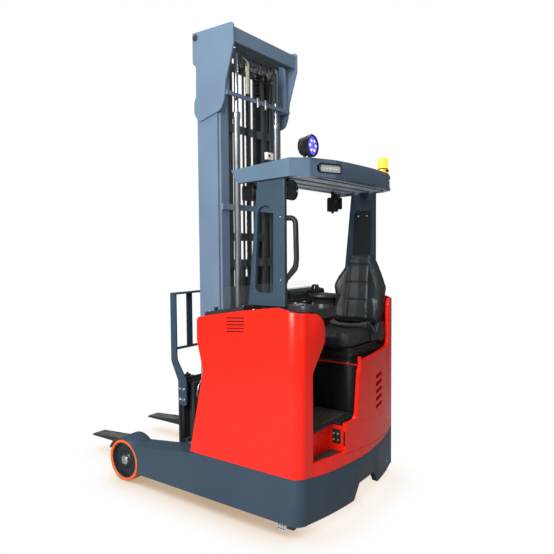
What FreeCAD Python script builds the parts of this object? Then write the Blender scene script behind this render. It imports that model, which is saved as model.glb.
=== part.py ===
# Sit-on reach truck with a triplex mast, modelled as separate sub-parts.
# Truck axes: +X to the driver's left-hand side of the chassis, -Y towards the fork tips, +Z up.
# Every outline is drawn from the load wheels' axle line (y = 0) and the floor (z = 0). Each
# sub-part is then placed so that the origin is on the floor under the middle of the truck.

import FreeCAD, Part
import math
import os
import re

import Sketcher

from FreeCAD import Placement, Rotation, Vector

doc = FreeCAD.newDocument("ReachTruck")
sheet = doc.addObject("Spreadsheet::Sheet", "Spec")

# Driving dimensions in millimetres, or in degrees where the name says angle.
dimensions = {
    # chassis and straddle legs
    "halfWidth": 683, "legWidth": 190, "legBottom": 89, "legTop": 382, "legKneeTop": 345,
    "legNoseTop": 299, "legNoseY": 147, "legKneeY": 523, "cornerY": 1550, "cornerRadius": 85,
    "bowRise": 79, "skirtWall": 40, "skirtFrontY": 1475, "skirtDip": 26, "skirtShoulderX": 464,
    "notchHalf": 189, "notchTop": 187, "bulkheadY": 1105, "plateThick": 12, "seamGap": 2,
    "railTop": 285, "railBottom": 175, "railDepth": 48, "railFrontY": -110, "railRearY": 1095,
    "reachPlateLow": 150, "reachPlateTop": 330,
    "reachX": 300, "reachZ": 240, "reachRodRadius": 16, "reachTubeRadius": 30,
    # wheels
    "loadRadius": 159, "loadWidth": 112, "tyreDepth": 24, "loadInset": 6, "archGap": 6,
    "fenderThick": 8, "axleRadius": 20, "driveRadius": 172, "driveWidth": 140, "driveY": 1430,
    "driveX": -40, "gearRadius": 150, "motorRadius": 95,
    # body
    "panelThick": 25, "panelFrontY": 719, "waistY": 853, "waistZ": 967, "bulgeY": 802,
    "bulgeZ": 1165, "shoulderY": 804, "shoulderZ": 1322, "panelKneeY": 1182, "panelKneeZ": 1385,
    "peakY": 1470, "peakZ": 1421, "panelRearInset": 125, "panelBulgeInset": 231,
    "panelInnerInset": 241,
    "stepZ": 446, "stepX": 243, "stepY": 1577, "floorZ": 635, "floorRearY": 1604, "seatDeckZ": 970,
    "seatBaseX": 5, "entryX": 54, "ledgeZ": 1040, "batteryFrontY": 870, "deckThick": 28,
    "deckFrontY": 839, "deckRearY": 1175, "deckFrontZ": 1326, "deckRise": 57, "deckInset": 43,
    "ventPitch": 54, "ventHigh": 28, "ventX": 258, "ventZ": 680, "sideVentY": 1064,
    # controls and seat
    "trayZ": 1430, "trayInset": 227, "trayY": 1330, "pedestalX": 150, "discX": 240, "discY": 1530,
    "discRadius": 95, "cupRadius": 38, "seatGap": 11, "seatHalf": 202, "seatBackHalf": 233,
    "cushionZ": 1185, "cushionFrontX": 50, "backTopZ": 1737, "backInset": 253,
    # overhead guard
    "guardTop": 2319, "guardDepth": 110, "guardInset": 29, "guardFrontY": 1097, "guardRearY": 1728,
    "guardSideY": 1545, "guardWall": 40, "guardCornerInset": 111, "guardCornerY": 1640,
    "guardBowInset": 303, "guardBowRise": 20, "guardSlat": 85, "pillarThick": 28, "pillarInset": 21,
    "pillarRearY": 1494, "pillarTopY": 1289, "pillarFootY": 1212, "slotLow": 1503, "slotTop": 2044,
    "slotHalf": 61.5, "slotY": 1348.5, "handleInset": 93, "handleRadius": 12,
    "handleTopZ": 1965, "handleLowZ": 1575,
    # mast
    "mastRearY": 765, "mastDepth": 190, "mastGap": 124, "channelWidth": 85, "flangeThick": 18,
    "sidePlate": 17, "headPlate": 13, "mastBottom": 140, "mastTop": 3338, "stageGap": 6,
    "stageInset": 28, "liftEyeRadius": 15, "stageFlange": 14, "liftX": 245, "liftY": 808,
    "liftTubeRadius": 25, "liftRodRadius": 16, "liftTubeTop": 2757, "freeLiftY": 650,
    "freeTubeRadius": 38, "freeTubeTop": 1560, "freeRodRadius": 24, "freeRodTop": 1640,
    "sheaveRadius": 58, "sheaveX": 48, "hoseSheaveX": 170, "pipeX": 40,
    # fork carriage
    "carriageInset": 243, "carriageFrontY": 366, "carriageTop": 790, "carriageLow": 250,
    "forkWidth": 125, "forkThick": 45, "forkSpread": 638, "forkLength": 1100, "forkLift": 125,
    "backrestTop": 1449, "backrestLow": 605, "backrestRail": 1014, "barThick": 12,
    "sideShift": 40, "tiltPin": 12, "tiltY": 426, "tiltZ": 262,
}
for row, (alias, value) in enumerate(dimensions.items(), start=1):
    sheet.set("A%d" % row, alias)
    sheet.set("B%d" % row, str(value))
    sheet.setAlias("B%d" % row, alias)
doc.recompute()

# Places that follow from the width, and the seat's middle between deck and rear panel.
places = {
    "panelRearX": "(halfWidth - panelRearInset)", "panelBulgeX": "(halfWidth - panelBulgeInset)",
    "panelInnerX": "(halfWidth - panelInnerInset)", "deckHalf": "(halfWidth - deckInset)",
    "trayX": "(halfWidth - trayInset)", "backFrontX": "(halfWidth - backInset)",
    "guardCornerX": "(halfWidth - guardCornerInset)", "guardBowX": "(halfWidth - guardBowInset)",
    "handleX": "(halfWidth - handleInset)", "carriageHalf": "(halfWidth - carriageInset)",
    "seatY": "(deckRearY + seatGap + seatBackHalf)",
}
aliasPattern = re.compile(r"\b(%s)\b" % "|".join(sorted(dimensions, key=len, reverse=True)))
placePattern = re.compile(r"\b(%s)\b" % "|".join(sorted(places, key=len, reverse=True)))


def placed(text):
    """Write the derived places out in the sheet's own names."""
    return placePattern.sub(lambda found: places[found.group(1)], str(text))


def sized(text):
    """Turn an expression on the sheet's names into one that the document reads."""
    return aliasPattern.sub(lambda found: "Spec." + found.group(1), placed(text))


def value(text):
    """Read an expression's value in millimetres."""
    found = sheet.evalExpression(placed(text))
    return float(getattr(found, "Value", found))


planeRoles = {"side": "YZ_Plane", "front": "XZ_Plane", "plan": "XY_Plane"}
allBodies = []


def newBody(label):
    body = doc.addObject("PartDesign::Body", label)
    body.AllowCompound = True
    allBodies.append(body)
    return body


def attach(body, sketch, plane, offset):
    """Lay a sketch on one of the body's origin planes, moved along the plane's own normal."""
    role = planeRoles[plane]
    origin = [item for item in body.Origin.OriginFeatures if item.Role == role][0]
    sketch.AttachmentSupport = [(origin, "")]
    sketch.MapMode = "FlatFace"
    sketch.setExpression("AttachmentOffset.Base.z", sized(offset))


def arcBetween(start, end, radius):
    """Arc from start to end; a positive radius turns anticlockwise, a negative one clockwise."""
    chord = end - start
    middle = (start + end) * 0.5
    left = Vector(-chord.y, chord.x, 0).normalize()
    rise = math.sqrt(max(radius * radius - chord.Length * chord.Length / 4, 0))
    centre = middle + left * (rise if radius > 0 else -rise)
    first, last = (start, end) if radius > 0 else (end, start)
    fromAngle = math.atan2(first.y - centre.y, first.x - centre.x)
    toAngle = math.atan2(last.y - centre.y, last.x - centre.x)
    circle = Part.Circle(centre, Vector(0, 0, 1), abs(radius))
    return Part.ArcOfCircle(circle, fromAngle, toAngle)


def soft(u, v, radius):
    """Corner rounded by an arc that touches both straight edges."""
    return (u, v, None, radius)


def softEnds(before, corner, after, radius):
    """Where the rounding of a corner starts and ends, and whether it turns anticlockwise."""
    back = (before - corner).normalize()
    ahead = (after - corner).normalize()
    half = back.getAngle(ahead) / 2
    reach = radius / math.tan(half)
    return corner + back * reach, corner + ahead * reach, back.cross(ahead).z < 0


def fix(sketch, kind, number, end, text, size):
    fixed = sketch.addConstraint(Sketcher.Constraint(kind, -1, 1, number, end, size))
    sketch.setExpression("Constraints[%d]" % fixed, sized(text))


def drawOutline(sketch, corners):
    """Closed outline through corners (u, v), (u, v, radius of the arc to the next) or soft()."""
    points = [Vector(value(corner[0]), value(corner[1]), 0) for corner in corners]
    count = len(points)
    heads = list(points)
    tails = list(points)
    turns = {}
    for index, corner in enumerate(corners):
        if len(corner) == 4:
            arrive, leave, anticlockwise = softEnds(
                points[index - 1], points[index], points[(index + 1) % count], value(corner[3]))
            heads[index] = leave
            tails[index] = arrive
            turns[index] = anticlockwise
    ends = []
    for index, corner in enumerate(corners):
        start = heads[index]
        end = tails[(index + 1) % count]
        if len(corner) == 3:
            radius = value(corner[2])
            number = sketch.addGeometry(arcBetween(start, end, radius), False)
            ends.append((number, 1, 2) if radius > 0 else (number, 2, 1))
            fixed = sketch.addConstraint(Sketcher.Constraint("Radius", number, abs(radius)))
            sketch.setExpression("Constraints[%d]" % fixed, "abs(%s)" % sized(corner[2]))
        else:
            number = sketch.addGeometry(Part.LineSegment(start, end), False)
            ends.append((number, 1, 2))
    for index, corner in enumerate(corners):
        number, head, tail = ends[index]
        before, beforeHead, beforeTail = ends[index - 1]
        if index not in turns:
            sketch.addConstraint(Sketcher.Constraint("Coincident", before, beforeTail, number, head))
            fix(sketch, "DistanceX", number, head, corner[0], points[index].x)
            fix(sketch, "DistanceY", number, head, corner[1], points[index].y)
            continue
        radius = value(corner[3])
        first, last = (tails[index], heads[index])
        if not turns[index]:
            radius = -radius
        arc = sketch.addGeometry(arcBetween(first, last, radius), False)
        arcHead, arcTail = (1, 2) if turns[index] else (2, 1)
        mark = sketch.addGeometry(Part.Point(points[index]), True)
        fix(sketch, "DistanceX", mark, 1, corner[0], points[index].x)
        fix(sketch, "DistanceY", mark, 1, corner[1], points[index].y)
        sketch.addConstraint(Sketcher.Constraint("PointOnObject", mark, 1, before))
        sketch.addConstraint(Sketcher.Constraint("PointOnObject", mark, 1, number))
        sketch.addConstraint(Sketcher.Constraint("Tangent", before, beforeTail, arc, arcHead))
        sketch.addConstraint(Sketcher.Constraint("Tangent", arc, arcTail, number, head))
        fixed = sketch.addConstraint(Sketcher.Constraint("Radius", arc, abs(radius)))
        sketch.setExpression("Constraints[%d]" % fixed, sized(corner[3]))


def drawCircle(sketch, centre, radius):
    middle = Vector(value(centre[0]), value(centre[1]), 0)
    number = sketch.addGeometry(Part.Circle(middle, Vector(0, 0, 1), value(radius)), False)
    for kind, text, size in (("DistanceX", centre[0], middle.x), ("DistanceY", centre[1], middle.y)):
        fixed = sketch.addConstraint(Sketcher.Constraint(kind, -1, 1, number, 3, size))
        sketch.setExpression("Constraints[%d]" % fixed, sized(text))
    fixed = sketch.addConstraint(Sketcher.Constraint("Radius", number, value(radius)))
    sketch.setExpression("Constraints[%d]" % fixed, sized(radius))


def feature(body, kind, plane, span, outlines=(), circles=()):
    """Pad or pocket of closed outlines and circles, from span[0] to span[1] along the plane's axis."""
    start, end = span
    if plane == "front":
        start, end = "-(%s)" % span[1], "-(%s)" % span[0]
    sketch = body.newObject("Sketcher::SketchObject", "Outline")
    attach(body, sketch, plane, start)
    for corners in outlines:
        drawOutline(sketch, corners)
    for centre, radius in circles:
        drawCircle(sketch, centre, radius)
    before = body.Shape.Volume if kind == "Pocket" else 0
    result = body.newObject("PartDesign::" + kind, kind)
    result.Profile = sketch
    result.setExpression("Length", sized("(%s) - (%s)" % (end, start)))
    if kind == "Pocket":
        result.Reversed = True
    doc.recompute()
    if kind == "Pocket" and body.Shape.Volume > before - 1:
        raise RuntimeError("a pocket in %s cuts nothing" % body.Label)
    return result


def pad(body, plane, span, outlines=(), circles=()):
    return feature(body, "Pad", plane, span, outlines, circles)


def pocket(body, plane, span, outlines=(), circles=()):
    return feature(body, "Pocket", plane, span, outlines, circles)


def slab(body, xSpan, ySpan, zSpan):
    """Rectangular bar or plate."""
    corners = [(xSpan[0], ySpan[0]), (xSpan[1], ySpan[0]), (xSpan[1], ySpan[1]), (xSpan[0], ySpan[1])]
    return pad(body, "plan", zSpan, [corners])


def sided(side, inner, outer):
    """Span along X of a piece on one side of the truck, given from the middle outwards."""
    if side > 0:
        return (inner, outer)
    return ("-(%s)" % outer, "-(%s)" % inner)


def mirrored(side, corners):
    """Outline drawn for the left side, turned over when it belongs to the right side."""
    if side > 0:
        return corners
    flipped = []
    for corner in corners:
        rest = list(corner[2:])
        if len(corner) == 3:
            rest = ["-(%s)" % corner[2]]
        flipped.append(tuple(["-(%s)" % corner[0], corner[1]] + rest))
    return flipped


def turned(body, plane, outline, centre, axis="H_Axis"):
    """Solid of revolution about the sketch's own axis; centre is (u, v, offset of the plane)."""
    sketch = body.newObject("Sketcher::SketchObject", "Outline")
    attach(body, sketch, plane, "-(%s)" % centre[2] if plane == "front" else centre[2])
    sketch.setExpression("AttachmentOffset.Base.x", sized(centre[0]))
    sketch.setExpression("AttachmentOffset.Base.y", sized(centre[1]))
    drawOutline(sketch, outline)
    result = body.newObject("PartDesign::Revolution", "Turned")
    result.Profile = sketch
    result.ReferenceAxis = (sketch, [axis])
    result.Angle = 360
    doc.recompute()
    return result


def tube(body, plane, offset, path, radius):
    """Round bar swept along an open path of straight runs and soft() bends in one plane."""
    points = [Vector(value(corner[0]), value(corner[1]), 0) for corner in path]
    sketch = body.newObject("Sketcher::SketchObject", "Path")
    attach(body, sketch, plane, "-(%s)" % offset if plane == "front" else offset)
    previous = None
    start = points[0]
    for index in range(1, len(path)):
        bend = None
        end = points[index]
        if len(path[index]) == 4:
            bend = softEnds(points[index - 1], end, points[index + 1], value(path[index][3]))
            end = bend[0]
        line = sketch.addGeometry(Part.LineSegment(start, end), False)
        if previous is None:
            fix(sketch, "DistanceX", line, 1, path[0][0], points[0].x)
            fix(sketch, "DistanceY", line, 1, path[0][1], points[0].y)
        else:
            arc, arcTail, mark = previous
            sketch.addConstraint(Sketcher.Constraint("Tangent", arc, arcTail, line, 1))
            sketch.addConstraint(Sketcher.Constraint("PointOnObject", mark, 1, line))
        if bend is None:
            fix(sketch, "DistanceX", line, 2, path[index][0], points[index].x)
            fix(sketch, "DistanceY", line, 2, path[index][1], points[index].y)
            break
        bendRadius = value(path[index][3])
        arc = sketch.addGeometry(arcBetween(bend[0], bend[1], bendRadius if bend[2] else -bendRadius),
                                 False)
        arcHead, arcTail = (1, 2) if bend[2] else (2, 1)
        mark = sketch.addGeometry(Part.Point(points[index]), True)
        fix(sketch, "DistanceX", mark, 1, path[index][0], points[index].x)
        fix(sketch, "DistanceY", mark, 1, path[index][1], points[index].y)
        sketch.addConstraint(Sketcher.Constraint("PointOnObject", mark, 1, line))
        sketch.addConstraint(Sketcher.Constraint("Tangent", line, 2, arc, arcHead))
        fixed = sketch.addConstraint(Sketcher.Constraint("Radius", arc, bendRadius))
        sketch.setExpression("Constraints[%d]" % fixed, sized(path[index][3]))
        previous = (arc, arcTail, mark)
        start = bend[1]
    doc.recompute()
    profile = body.newObject("Sketcher::SketchObject", "Section")
    profile.AttachmentSupport = [(sketch, "Edge1")]
    profile.MapMode = "NormalToEdge"
    drawCircle(profile, ("0", "0"), radius)
    doc.recompute()
    result = body.newObject("PartDesign::AdditivePipe", "Tube")
    result.Profile = profile
    result.Spine = (sketch, [])
    doc.recompute()
    return result


# ---- chassis: straddle legs, rear skirt and the frame between them ----

def leg(side, label):
    """Box leg with its load wheel's arch and fender, the wheel's stub axle and the mast's rail."""
    body = newBody(label)
    archRadius = "(loadRadius + archGap)"
    fenderRadius = "(loadRadius + archGap + fenderThick)"
    lowY = "sqrt(%s^2 - (loadRadius - legBottom)^2)" % archRadius
    topY = "sqrt(%s^2 - (legNoseTop - 6 - loadRadius)^2)" % fenderRadius
    topLine = [
        (topY, "legNoseTop - 6"), ("legNoseY", "legNoseTop"), ("legKneeY", "legKneeTop"),
        ("panelFrontY", "legTop - 11"), ("panelFrontY + 50", "legTop"), ("skirtFrontY", "legTop"),
        ("skirtFrontY", "legBottom"),
    ]
    frontArc = [
        ("-%s*cos(25)" % archRadius, "loadRadius + %s*sin(25)" % archRadius),
        ("-%s*cos(25)" % fenderRadius, "loadRadius + %s*sin(25)" % fenderRadius,
         "-%s" % fenderRadius),
    ]
    outer = [(lowY, "legBottom", archRadius)] + frontArc + topLine
    wheelRoom = sided(side, "halfWidth - loadInset - loadWidth - archGap", "halfWidth")
    pad(body, "side", wheelRoom, [outer])
    cheek = [("0", "loadRadius + %s" % fenderRadius, "-%s" % fenderRadius)] + topLine + [
        ("-loadRadius*0.6", "legBottom"),
        ("-%s" % fenderRadius, "loadRadius", "-%s" % fenderRadius),
    ]
    inside = sided(side, "halfWidth - legWidth", "halfWidth - loadInset - loadWidth - archGap")
    pad(body, "side", inside, [cheek])
    rail = sided(side, "halfWidth - legWidth", "halfWidth - legWidth + railDepth")
    pocket(body, "side", rail, [[
        ("railFrontY", "railBottom"), ("railRearY", "railBottom"),
        ("railRearY", "railTop"), ("railFrontY", "railTop"),
    ]])
    stub = sided(side, "halfWidth - loadInset - loadWidth - archGap", "halfWidth - loadInset - 35")
    pad(body, "side", stub, circles=[(("0", "loadRadius"), "axleRadius")])
    return body


def bowOutline(inset, frontY):
    """Plan of the rear body, open to the front: round corners joined by one shallow bow."""
    half = "(halfWidth - %s)" % inset
    corner = "(cornerRadius - %s)" % inset
    bowHalf = "(halfWidth - cornerRadius)"
    bowRadius = "(%s^2 / (2 * bowRise) + bowRise / 2)" % bowHalf
    tailY = "cornerY + %s" % corner
    return [
        (half, frontY), (half, "cornerY", corner), (bowHalf, tailY, bowRadius),
        ("-" + bowHalf, tailY, corner), ("-" + half, "cornerY"), ("-" + half, frontY),
    ]


def skirtLine(rise):
    """Top edge of the skirt seen from behind: it dips towards the middle."""
    return [
        ("halfWidth - panelThick - 5", "legTop + %s" % rise),
        ("skirtShoulderX", "legTop - skirtDip * 0.58 + %s" % rise),
        ("driveX", "legTop - skirtDip + %s" % rise),
        ("-skirtShoulderX", "legTop - skirtDip * 0.58 + %s" % rise),
        ("-halfWidth + panelThick + 5", "legTop + %s" % rise),
    ]


def rearSkirt():
    """Bowed wall across the rear, with the opening that shows the drive wheel."""
    body = newBody("rear_skirt")
    pad(body, "plan", ("legBottom", "legTop"), [bowOutline("0", "skirtFrontY")])
    pocket(body, "plan", ("legBottom", "legTop"), [bowOutline("skirtWall", "skirtFrontY - 10")])
    pocket(body, "front", ("skirtFrontY - 10", "cornerY + 200"), [skirtLine("0") + [
        ("-halfWidth + panelThick + 5", "legTop + 10"), ("halfWidth - panelThick - 5", "legTop + 10"),
    ]])
    pocket(body, "front", ("cornerY", "cornerY + 200"), [[
        ("driveX + notchHalf", "legBottom - 5"), soft("driveX + notchHalf * 0.6", "notchTop", "14"),
        soft("driveX - notchHalf * 0.6", "notchTop", "14"), ("driveX - notchHalf", "legBottom - 5"),
    ]])
    return body


def chassisFrame():
    """Plates between the legs: battery tray, bulkhead and the drive unit's bay."""
    body = newBody("chassis_frame")
    inner = "(halfWidth - legWidth)"
    slab(body, ("-" + inner, inner), ("batteryFrontY - 18", "bulkheadY"), ("legBottom", "legBottom + 40"))
    slab(body, ("-" + inner, inner), ("bulkheadY", "bulkheadY + plateThick"), ("legBottom", "stepZ - 36"))
    slab(body, ("-" + inner, inner), ("batteryFrontY - 18", "batteryFrontY - 2"),
         ("legBottom + 40", "legTop"))
    slab(body, ("-" + inner, inner), ("batteryFrontY - 2", "bulkheadY"), ("legTop - 14", "legTop"))
    slab(body, ("driveX - 200", "driveX + 200"), ("bulkheadY + plateThick", "driveY + 150"),
         ("stepZ - 54", "stepZ - 42"))
    pocket(body, "plan", ("stepZ - 60", "stepZ - 38"), circles=[(("driveX", "driveY"), "102")])
    for side in (1, -1):
        at = ("%d * reachX" % side, "reachZ")
        pad(body, "front", ("batteryFrontY - 26", "driveY + 40"), circles=[(at, "reachTubeRadius")])
        pocket(body, "front", ("batteryFrontY - 30", "driveY + 20"), circles=[(at, "reachRodRadius + 2")])
    return body


def battery():
    """Drive battery in its steel tray, one plain block."""
    body = newBody("battery")
    slab(body, ("-halfWidth + panelThick + 30", "halfWidth - panelThick - 30"),
         ("batteryFrontY", "bulkheadY - 6"), ("legTop", "shoulderZ - 70"))
    return body


# ---- red panels and the operator's place ----

def coverTop(frontY, highZ):
    """Side view of the cut over a side cover: tapered front, bulge, and the sloping top."""
    return [
        (frontY, "legTop - 30"), ("panelFrontY - 3", "legTop - 30"), soft("waistY", "waistZ", "90"),
        soft("bulgeY", "bulgeZ", "70"), soft("shoulderY", "shoulderZ", "32"),
        soft("panelKneeY", "panelKneeZ", "500"), soft("peakY", "peakZ", "60"),
        ("guardRearY + 20", "peakZ - 65"), ("guardRearY + 20", highZ), (frontY, highZ),
    ]


def sidePanel(side, label):
    """Moulded side cover that wraps round the rear corner."""
    body = newBody(label)
    far = "guardRearY + 10"
    high = "peakZ + 20"
    low = "legTop - 20"
    pad(body, "plan", (low, "peakZ"), [bowOutline("0", "panelFrontY - 20")])
    pocket(body, "plan", ("legTop - 25", "peakZ + 5"), [bowOutline("panelThick", "panelFrontY - 30")])
    inner = "panelBulgeX" if side > 0 else "panelInnerX"
    keep = sided(-side, "-(%s)" % inner, "halfWidth + 10")
    pocket(body, "plan", ("legTop - 25", "peakZ + 5"), [[
        (keep[0], "panelFrontY - 40"), (keep[1], "panelFrontY - 40"), (keep[1], far), (keep[0], far),
    ]])
    if side > 0:
        rearEdge = [
            ("panelBulgeX - 10", "legTop - 40"), ("panelRearX", "legTop - 40"),
            soft("panelRearX", "waistZ + 50", "70"), soft("panelBulgeX", "bulgeZ + 40", "70"),
            ("panelBulgeX", "peakZ - 149", "-109"), ("panelBulgeX + 105", "peakZ - 37"),
            ("panelBulgeX + 105", high), ("panelBulgeX - 10", high),
        ]
    else:
        rearEdge = [
            ("panelInnerX", "ledgeZ", "70"), ("panelInnerX + 70", "ledgeZ + 70"),
            ("panelInnerX + 70", "peakZ - 80", "-45"), ("panelInnerX + 115", "peakZ - 35"),
            ("panelInnerX + 115", high), ("panelInnerX - 10", high), ("panelInnerX - 10", "ledgeZ"),
        ]
    pocket(body, "front", ("cornerY - 10", far), [mirrored(side, rearEdge)])
    reach = sided(side, "panelInnerX - 20", "halfWidth + 5")
    pocket(body, "side", reach, [coverTop("panelFrontY - 50", high)])
    foot = skirtLine("1.5") + [("-halfWidth - 5", "legTop + 1.5"), ("-halfWidth - 5", "legTop - 30"),
                               ("halfWidth + 5", "legTop - 30"), ("halfWidth + 5", "legTop + 1.5")]
    pocket(body, "front", ("panelFrontY - 30", far), [foot])
    if side > 0:
        slots = []
        for number in range(5):
            low = "shoulderZ - 82 + 22 * %d" % number
            slots.append([
                soft("sideVentY", low, "4"), soft("sideVentY + 150", low + " + 10", "4"),
                soft("sideVentY + 150", low + " + 19", "4"), soft("sideVentY", low + " + 9", "4"),
            ])
        pocket(body, "side", ("halfWidth - 14", "halfWidth + 5"), slots)
    return body


def rearPanel():
    """Cover behind the seat deck with its air slots, and the red walls of the step recess."""
    body = newBody("rear_panel")
    far = "guardRearY + 10"
    inside = "cornerY - 40"
    top = "ledgeZ + 5"
    pad(body, "plan", ("legTop - 40", top), [bowOutline("0", inside)])
    pocket(body, "plan", ("legTop - 45", "ledgeZ + 15"), [bowOutline("panelThick", "cornerY - 50")])
    pocket(body, "plan", ("legTop - 45", "ledgeZ + 15"), [[
        ("-halfWidth - 5", "cornerY - 60"), ("-panelInnerX + seamGap", "cornerY - 60"),
        ("-panelInnerX + seamGap", far), ("-halfWidth - 5", far),
    ], [
        ("panelRearX - seamGap", "cornerY - 60"), ("halfWidth + 5", "cornerY - 60"),
        ("halfWidth + 5", far), ("panelRearX - seamGap", far),
    ]])
    pocket(body, "front", ("cornerY", far), [[
        ("stepX", "stepZ"), ("panelRearX + 1", "stepZ + 14"), ("panelRearX + 1", "ledgeZ + 20"),
        ("entryX", "ledgeZ + 20"), ("entryX", "seatDeckZ + 12"), ("entryX + 20", "seatDeckZ - 20"),
        soft("entryX + 56", "floorZ + 1", "52"), ("stepX", "floorZ + 1"),
    ]])
    pocket(body, "front", ("cornerY", far), [[
        ("entryX - 5", "ledgeZ - 22"), ("-panelInnerX - 5", "ledgeZ"), ("-panelInnerX - 5", "ledgeZ + 20"),
        ("entryX - 5", "ledgeZ + 20"),
    ]])
    pocket(body, "front", ("cornerY", far), [skirtLine("1.5") + [
        ("-halfWidth + panelThick + 5", "legTop - 60"), ("halfWidth - panelThick - 5", "legTop - 60"),
    ]])
    crease = [
        ("stepX", "stepZ - 10"), ("driveX", "legTop + 34"), ("-panelInnerX - 1", "legTop"),
        ("-panelInnerX - 1", "legTop - 3"), ("driveX", "legTop + 31"), ("stepX", "stepZ - 13"),
    ]
    pocket(body, "front", ("cornerY", far), [crease])
    slots = []
    for number in range(5):
        low = "ventZ + ventPitch * %d" % (number - 1)
        slots.append([
            soft("-ventX + 66", low, "12"), soft("-ventX + 66", low + " + ventHigh", "12"),
            soft("-ventX - 66", low + " + ventHigh + 15", "12"), soft("-ventX - 66", low + " + 15", "12"),
        ])
    pocket(body, "front", ("cornerY", far), slots)
    slab(body, ("stepX - plateThick", "stepX"), ("stepY - plateThick", "cornerY + 125"),
         ("stepZ - 20", "floorZ - 21"))
    slab(body, ("stepX", "panelRearX - seamGap"), ("stepY - plateThick", "stepY"),
         ("stepZ - 20", "floorZ - 21"))
    slab(body, ("seatBaseX - 6", "seatBaseX"), ("bulkheadY + 80", "cornerY + 130"),
         ("seatDeckZ + 0.5", "seatDeckZ + 9"))
    return body


def footwell():
    """Step tread, floor and the walls round the operator's legs."""
    body = newBody("footwell")
    pad(body, "plan", ("stepZ - 20", "stepZ"), [bowOutline("(panelThick + 1)", "stepY + 1")])
    side = "halfWidth + 10"
    pocket(body, "plan", ("stepZ - 25", "stepZ + 5"), [[
        ("-" + side, "cornerY - 30"), ("stepX + 1", "cornerY - 30"), ("stepX + 1", "guardRearY"),
        ("-" + side, "guardRearY"),
    ], [
        ("panelRearX - 3", "cornerY - 30"), (side, "cornerY - 30"), (side, "guardRearY"),
        ("panelRearX - 3", "guardRearY"),
    ]])
    front = "bulkheadY + 12"
    slab(body, ("panelRearX + 2", "panelRearX + 14"), (front, "floorRearY"),
         ("stepZ - 20", "waistZ + 250"))
    slab(body, ("seatBaseX + 1", "panelRearX + 2"), (front, "floorRearY"), ("floorZ - 20", "floorZ"))
    slab(body, ("seatBaseX + 1", "stepX"), ("floorRearY", "cornerY + 108"), ("floorZ - 20", "floorZ"))
    slab(body, ("seatBaseX + 1", "panelRearX + 2"), (front, "bulkheadY + 24"), ("floorZ", "waistZ + 250"))
    slab(body, ("panelRearX - 3", "panelRearX + 2"), ("stepY + 6", "floorRearY"), ("stepZ - 20", "stepZ"))
    return body


def seatBase():
    """Deck that carries the seat, with the curved front that faces the operator's legs."""
    body = newBody("seat_base")
    pad(body, "plan", ("floorZ - 20", "seatDeckZ"), [[
        ("-halfWidth + panelThick + 5", "bulkheadY + 24"), ("seatBaseX - 60", "bulkheadY + 24"),
        soft("seatBaseX", "cornerY + 95", "75"), ("-panelInnerX", "cornerY + 45"),
        ("-halfWidth + panelThick + 5", "cornerY - 10"),
    ]])
    return body


def deckTopAt(y):
    return "(deckFrontZ + deckThick + deckRise * ((%s) - deckFrontY) / (deckRearY - deckFrontY))" % y


def batteryDeck():
    """Sloping black cover over the battery."""
    body = newBody("battery_deck")
    pad(body, "side", ("-deckHalf", "deckHalf"), [[
        ("deckFrontY", "deckFrontZ"), ("deckRearY", "deckFrontZ + deckRise"),
        ("deckRearY", deckTopAt("deckRearY")), soft("deckFrontY", deckTopAt("deckFrontY"), "12"),
    ]])
    return body


def screen():
    """Clear screen between the mast and the operator."""
    body = newBody("mast_screen")
    foot = deckTopAt("deckFrontY + 56") + " + 1"
    top = "shoulderZ + 190"
    half = "(deckHalf - 32)"
    pad(body, "front", ("deckFrontY + 50", "deckFrontY + 56"), [[
        ("-" + half, foot), (half, foot), soft(half, top, "60"), soft("-" + half, top, "60"),
    ]])
    return body


def console():
    """Side console: tray with its cup holder, and the steering pedestal."""
    body = newBody("console")
    slab(body, ("trayX + 4", "deckHalf - 40"), ("trayY", "cornerY + 10"), ("bulgeZ + 60", "trayZ - 38"))
    pad(body, "plan", ("trayZ - 38", "trayZ"), [[
        soft("trayX + 4", "trayY - 15", "30"), soft("deckHalf - 42", "trayY - 15", "30"),
        soft("deckHalf - 42", "cornerY + 70", "45"), soft("trayX + 4", "cornerY + 110", "45"),
    ]])
    pocket(body, "plan", ("trayZ - 75", "trayZ + 5"), circles=[(("trayX + 62", "discY - 8"), "cupRadius")])
    pocket(body, "plan", ("trayZ - 14", "trayZ + 5"), [[
        soft("trayX + 18", "trayY + 5", "14"), soft("trayX + 108", "trayY + 5", "14"),
        soft("trayX + 108", "trayY + 125", "14"), soft("trayX + 18", "trayY + 125", "14"),
    ]])
    pad(body, "plan", ("trayZ - 100", "trayZ - 40"), [[
        soft("pedestalX", "discY - 80", "35"), ("trayX + 4", "discY - 100"),
        ("trayX + 4", "discY + 60"), soft("pedestalX", "discY + 60", "35"),
    ]])
    turned(body, "front", [
        ("0", "trayZ - 40"), ("66", "trayZ - 40"), ("66", "trayZ - 12"), ("48", "trayZ - 12"),
        ("48", "trayZ + 18"), ("0", "trayZ + 18"),
    ], ("discX", "0", "discY"), "V_Axis")
    return body


def dashboard():
    """Display housing that stands on the battery deck."""
    body = newBody("dashboard")
    front = "deckRearY - 115"
    rear = "deckRearY - 15"
    pad(body, "side", ("-halfWidth * 0.58", "halfWidth * 0.1"), [[
        (front, deckTopAt(front) + " + 0.5"), (rear, deckTopAt(rear) + " + 0.5"),
        soft(rear, "trayZ + 30", "20"), soft(front, "trayZ + 48", "20"),
    ]])
    slab(body, ("halfWidth * 0.17", "halfWidth * 0.33"), ("deckRearY - 75", rear),
         (deckTopAt(rear) + " + 0.5", "trayZ + 62"))
    return body


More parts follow.
